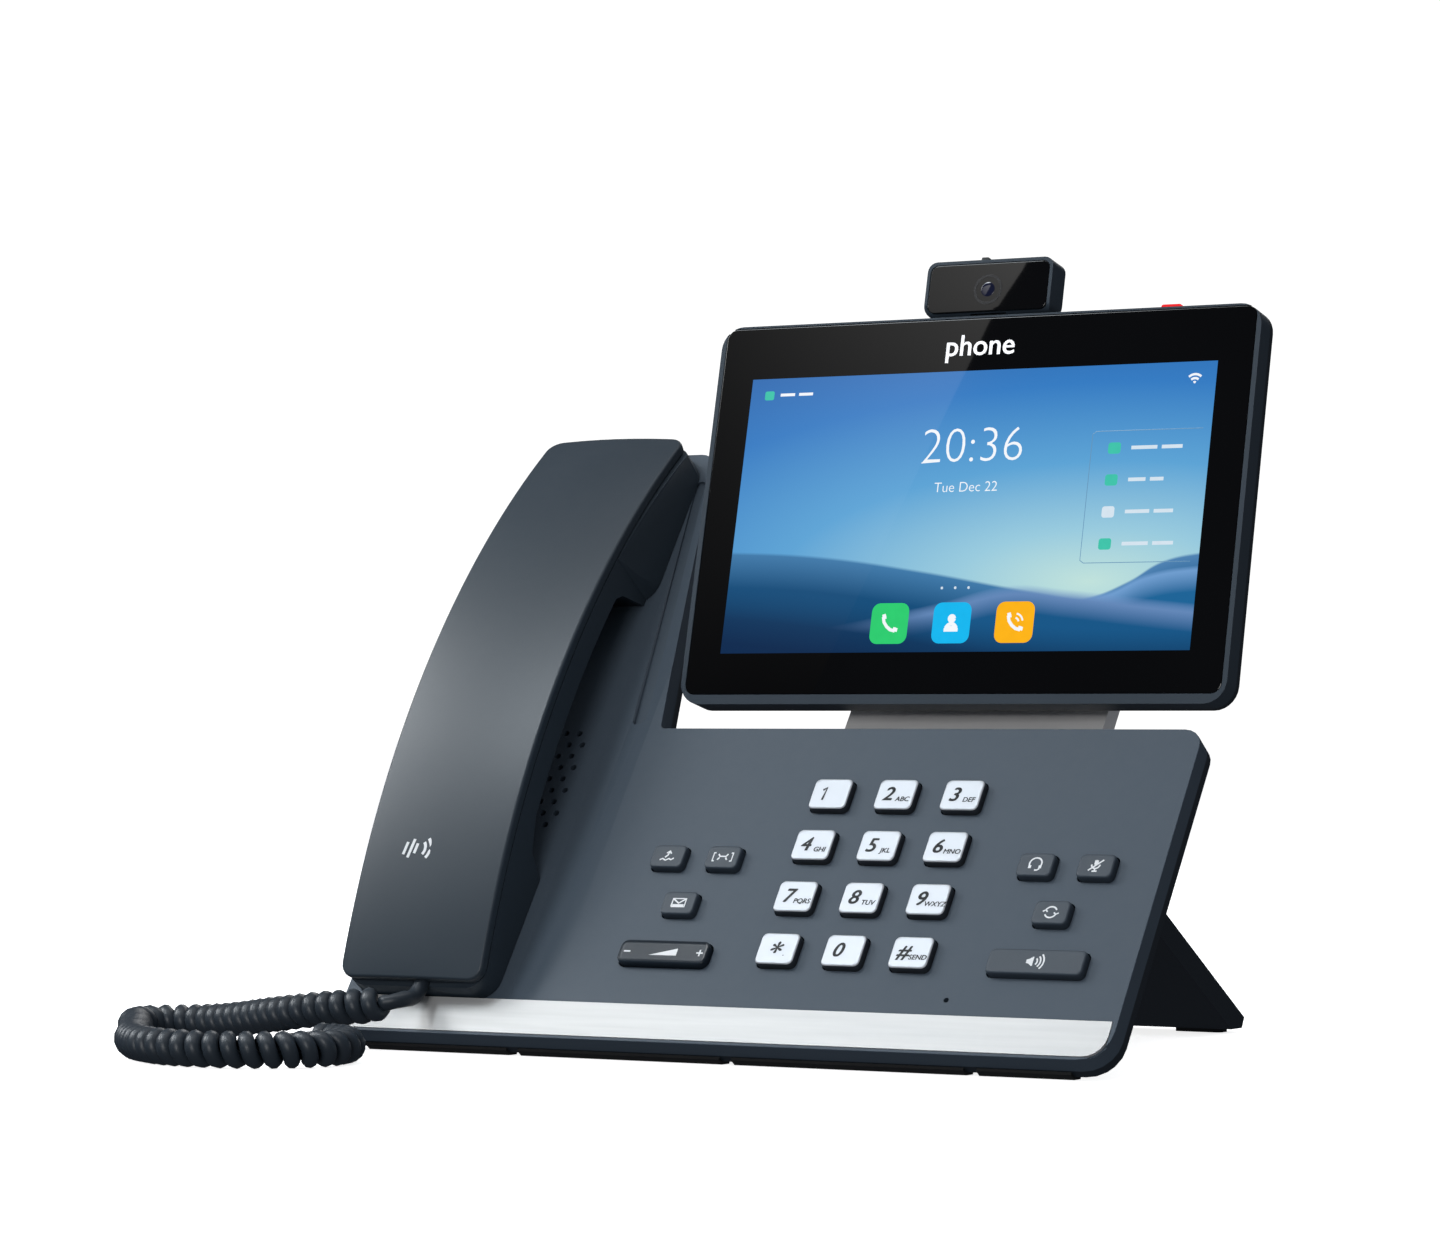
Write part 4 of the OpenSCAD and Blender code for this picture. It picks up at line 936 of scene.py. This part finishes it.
bmesh.ops.spin(back, geom=back.verts[:] + back.edges[:] + back.faces[:], cent=ARCH_CENTRE, axis=(1, 0, 0),
               angle=low_angle - high_angle, steps=36, use_duplicate=False)
print("spun back runs from", round(min(v.co.y for v in back.verts), 1), "to",
      round(max(v.co.y for v in back.verts), 1))
bmesh.ops.recalc_face_normals(back, faces=back.faces)

# %% Handset back, rounded


def arch_height(v):
    """Height of the arch at a place along the handset."""
    return ARCH_TOP - ARCH_R + math.sqrt(ARCH_R**2 - (v - ARCH_V) ** 2)


def is_corner(e):
    """Whether an edge is one of the four upright corners."""
    a, b = (v.co for v in e.verts)
    at_side = all(abs(abs(c.x - MIDDLE) - HALF_WIDE) < 0.1 for c in (a, b))
    at_end = min(a.y, b.y) < LOW + 4 or max(a.y, b.y) > HIGH - 4
    return (abs(e.calc_face_angle(0)) > 1.2 and at_side and at_end and (a - b).length < 4.5
            and abs((a - b).normalized().z) > 0.8)


def sharp_edges(shape, rule):
    """Edges that turn by more than 50 degrees, both ends of which meet a rule."""
    return [e for e in shape.edges if len(e.link_faces) == 2 and e.calc_face_angle(0) > math.radians(50)
            and all(rule(v.co) for v in e.verts)]


corner_edges = [e for e in back.edges if is_corner(e)]
print("upright corners:", len(corner_edges))
rounded_edges(back, corner_edges, 4.6, 5)
rounded_edges(back, sharp_edges(back, lambda c: c.z > arch_height(c.y) - 1.8), 0.9, 3)
rounded_edges(back, sharp_edges(back, lambda c: c.z < arch_height(c.y) - 3.4), 0.5, 1)
handset_back = made("handset_back", back, SLAB, "handset", [slate_handset], slot="slate_shell",
                    stands_for=["handset_outer_shell"], smooth=40)
print("handset back has", len(handset_back.data.polygons), "faces")

# %% Mark on the back, and the inner shell
MARK_X, MARK_V = -150, 52
mark_plane = (SLAB @ Matrix.Translation((MARK_X, MARK_V, arch_height(MARK_V) - 0.03))
              @ Matrix.Rotation(math.atan2(ARCH_V - MARK_V, ARCH_R), 4, "X"))
strokes("sound_mark", [[(-4.2, -2.0), (-3.4, 2.0)], [(-2.4, -3.0), (-1.2, 3.0)], [(-0.4, -1.6), (0.2, 1.6)],
                       arc(0.2, 0, 3.0, -38, 42, 7), arc(0.2, 0, 4.8, -38, 42, 8)], 1.0, 0, 0, 0.0,
        mark_plane, "handset", white_ink)
inner_shell = softened("handset_inner_shell", SLAB, [
    (lambda m, e: abs(m.x - MIDDLE) > 23.2 and m.z < arch_height(m.y) - 5.2, 0.8, 3),
    (lambda m, e: abs(m.x - MIDDLE) > 23.2
     and arch_height(m.y) - 5.2 < m.z < arch_height(m.y) - 3.4, 0.4, 1)],
    "handset", [slate_handset], "slate_shell", smooth=40)
print("inner shell has", len(inner_shell.data.polygons), "faces")

# %% [markdown]
# ## Stand
# The kickstand is a framed plate behind the phone, hinged near the top of the keypad half. It keeps
# its CAD shape, with the long edges of both faces rounded, since hands open it by those.

# %% Stand
STAND = leaning((-0.00305, -0.02948, 0.079358), -30.8)
stand = softened("kickstand", STAND, [
    (lambda m, e: m.y > 20 and abs(abs(m.z) - 4.1) < 0.05
     and abs(e.verts[0].co.z - e.verts[1].co.z) < 0.1, 0.7, 3)],
    "kickstand", [slate_dark], "slate_dark_shell")
print("stand", len(stand.data.polygons), "faces")

# %% [markdown]
# ## Carried pieces
# What is left of the CAD model, such as the strip, the neck, the feet and all that is inside, already
# has its true shape. It only takes a finish of its own in every material slot, so that nothing is
# left plain when a part of the phone is opened or exported.

# %% Finishes of the carried CAD nodes
CARRIED = {
    "trim_strip": bright_strip, "keypad_mat": silicone_mat, "keypad_board": board_green,
    "main_board": board_green, "display_board": board_green, "loudspeaker": black_plastic,
    "ear_speaker": black_plastic, "mouth_microphone": plain_steel, "network_jacks": plain_steel,
    "cord_jacks": black_plastic, "power_jack": black_plastic, "neck_bracket": satin_metal,
    "tilt_pin": plain_steel, "case_screws": plain_steel, "stand_pins": plain_steel,
    "handset_ballast": plain_steel, "base_feet": foot_rubber, "stand_feet": foot_rubber,
    "cradle_tab": slate, "hook_plunger": black_plastic, "shutter_slider": black_plastic,
    "camera_plug": slate_dark, "camera_lens": lens_glass, "lcd_panel": black_glass,
    "message_light": red_lamp, "handset_plug": plug_plastic, "base_plug": plug_plastic,
}
for node, finish in CARRIED.items():
    for slot in nodes[node].material_slots:
        slot.material = finish
print(len(CARRIED), "CAD nodes carried with finishes")

# %% [markdown]
# ## Table and light
# A white table that meets a white room, as in a catalogue. The room is bright for the lens but dim
# for reflections, so dark plastics stay deep. The table glows a little by itself, so that it is
# white without more lamps, and it is left out of what the plastics reflect.

# %% Table
table = bpy.data.meshes.new("table")
top = bmesh.new()
bmesh.ops.create_grid(top, x_segments=2, y_segments=2, size=12)
top.to_mesh(table)
top.free()
table_white = moulded("table_white", (0.90, 0.90, 0.90), 0.9, grain=200.0, depth=0.0, dust=0.0)
tuned(table_white, Specular_IOR_Level=0.0, Emission_Color=(1, 1, 1, 1), Emission_Strength=0.82)
table.materials.append(table_white)
table_piece = bpy.data.objects.new("table", table)
bpy.context.scene.collection.objects.link(table_piece)
table_piece.visible_diffuse = table_piece.visible_glossy = False
print("table is", round(table_piece.dimensions.x), "m across")

# %% Room
room = bpy.data.worlds.new("room")
room.use_nodes = True
bpy.context.scene.world = room
air = room.node_tree
rays = air.nodes.new("ShaderNodeLightPath")
seen = blended(air, rays.outputs["Is Glossy Ray"], (0.22, 0.23, 0.25), (0.04, 0.043, 0.05))
seen = blended(air, rays.outputs["Is Camera Ray"], seen, (1.1, 1.1, 1.1))
lit = air.nodes["Background"]
air.links.new(seen, lit.inputs["Color"])
lit.inputs["Strength"].default_value = 1.0
bpy.context.scene.view_settings.view_transform = "Standard"
print("room is white to the lens and dim to reflections")

# %% [markdown]
# Glass looks like glass by what it mirrors. A photographer holds up a white card, so that its
# slanting edge draws a diagonal sheen on the display. The card's corners are found by bouncing the
# lens's ray off the glass, and the card fades along its own UV map. It is only seen by reflection.

# %% Where the glass mirrors
CARD_AWAY = 0.9


def bounced(x, y, away):
    """Where the lens's ray, bounced at (x, y) mm of the glass, has gone after some metres."""
    spot_on_glass = GLASS @ Vector((x, y, 0))
    out = (GLASS.to_3x3() @ Vector((0, 0, 1))).normalized()
    ray = (spot_on_glass - camera.location).normalized()
    return spot_on_glass + (ray - 2 * ray.dot(out) * out) * away


print("middle of the glass mirrors", [round(c, 2) for c in bounced(0, 0, CARD_AWAY)])

# %% Glare card
card = bmesh.new()
card_uv = card.loops.layers.uv.new("card")
face = card.faces.new([card.verts.new(bounced(x, y, CARD_AWAY)) for x, y in
                       ((17, 96), (-150, 96), (-150, -60), (-46, -60))])
for corner, place in zip(face.loops, ((1, 1), (0, 1), (0, 0), (0.6, 0))):
    corner[card_uv].uv = place
card_mesh = bpy.data.meshes.new("glare_card")
card.to_mesh(card_mesh)
card.free()
glow, tree, principled = shader("glare_card")
where = tree.nodes.new("ShaderNodeSeparateXYZ")
tree.links.new(tree.nodes.new("ShaderNodeUVMap").outputs["UV"], where.inputs[0])
fade = maths(tree, "MULTIPLY", maths(tree, "POWER", where.outputs["X"], 1.5),
             maths(tree, "POWER", where.outputs["Y"], 1.6))
tree.links.new(blended(tree, fade, (0.02, 0.02, 0.02), (1, 0.99, 0.97)),
               principled.inputs["Emission Color"])
tuned(glow, Emission_Strength=1.5, Base_Color=(0, 0, 0, 1))
card_mesh.materials.append(glow)
card_piece = bpy.data.objects.new("glare_card", card_mesh)
bpy.context.scene.collection.objects.link(card_piece)
card_piece.visible_camera = card_piece.visible_diffuse = card_piece.visible_shadow = False
print("glare card has", len(card_mesh.vertices), "corners")

# %% [markdown]
# Five soft panels shape the phone. A wide one above lights the table and the upper faces, two on the
# left draw the pale band down the handset's back, one in front fills the keypad, and one behind
# lifts the rims. All stay away from where the display's glass mirrors the lens.

# %% Lights


def panel(name, place, aim, wide, high, power, tint=(1, 1, 1)):
    """A soft rectangular light, turned towards what it lights."""
    light = bpy.data.lights.new(name, "AREA")
    light.shape, light.size, light.size_y = "RECTANGLE", wide, high
    light.energy, light.color = power, tint
    lamp = bpy.data.objects.new(name, light)
    bpy.context.scene.collection.objects.link(lamp)
    lamp.location = place
    lamp.rotation_mode = "QUATERNION"
    lamp.rotation_quaternion = (Vector(aim) - Vector(place)).to_track_quat("-Z", "Y")
    return lamp


panel("sky", (0.1, -0.2, 1.9), (0.05, -0.1, 0), 2.0, 1.6, 9.0)
panel("left_key", (-1.1, -0.36, 0.86), (-0.05, -0.06, 0.1), 0.5, 0.5, 8.5, (0.95, 0.98, 1.0))
panel("high_left", (-0.50, -0.58, 1.02), (-0.08, -0.08, 0.08), 0.30, 0.36, 4.0, (0.88, 0.95, 1.0))
panel("front", (0.25, -1.7, 0.52), (0.05, -0.06, 0.1), 0.7, 0.5, 7.0)
panel("behind", (-0.4, 1.2, 0.9), (0, 0, 0.15), 1.0, 0.5, 4.0)
print(len(bpy.data.lights), "soft panels")
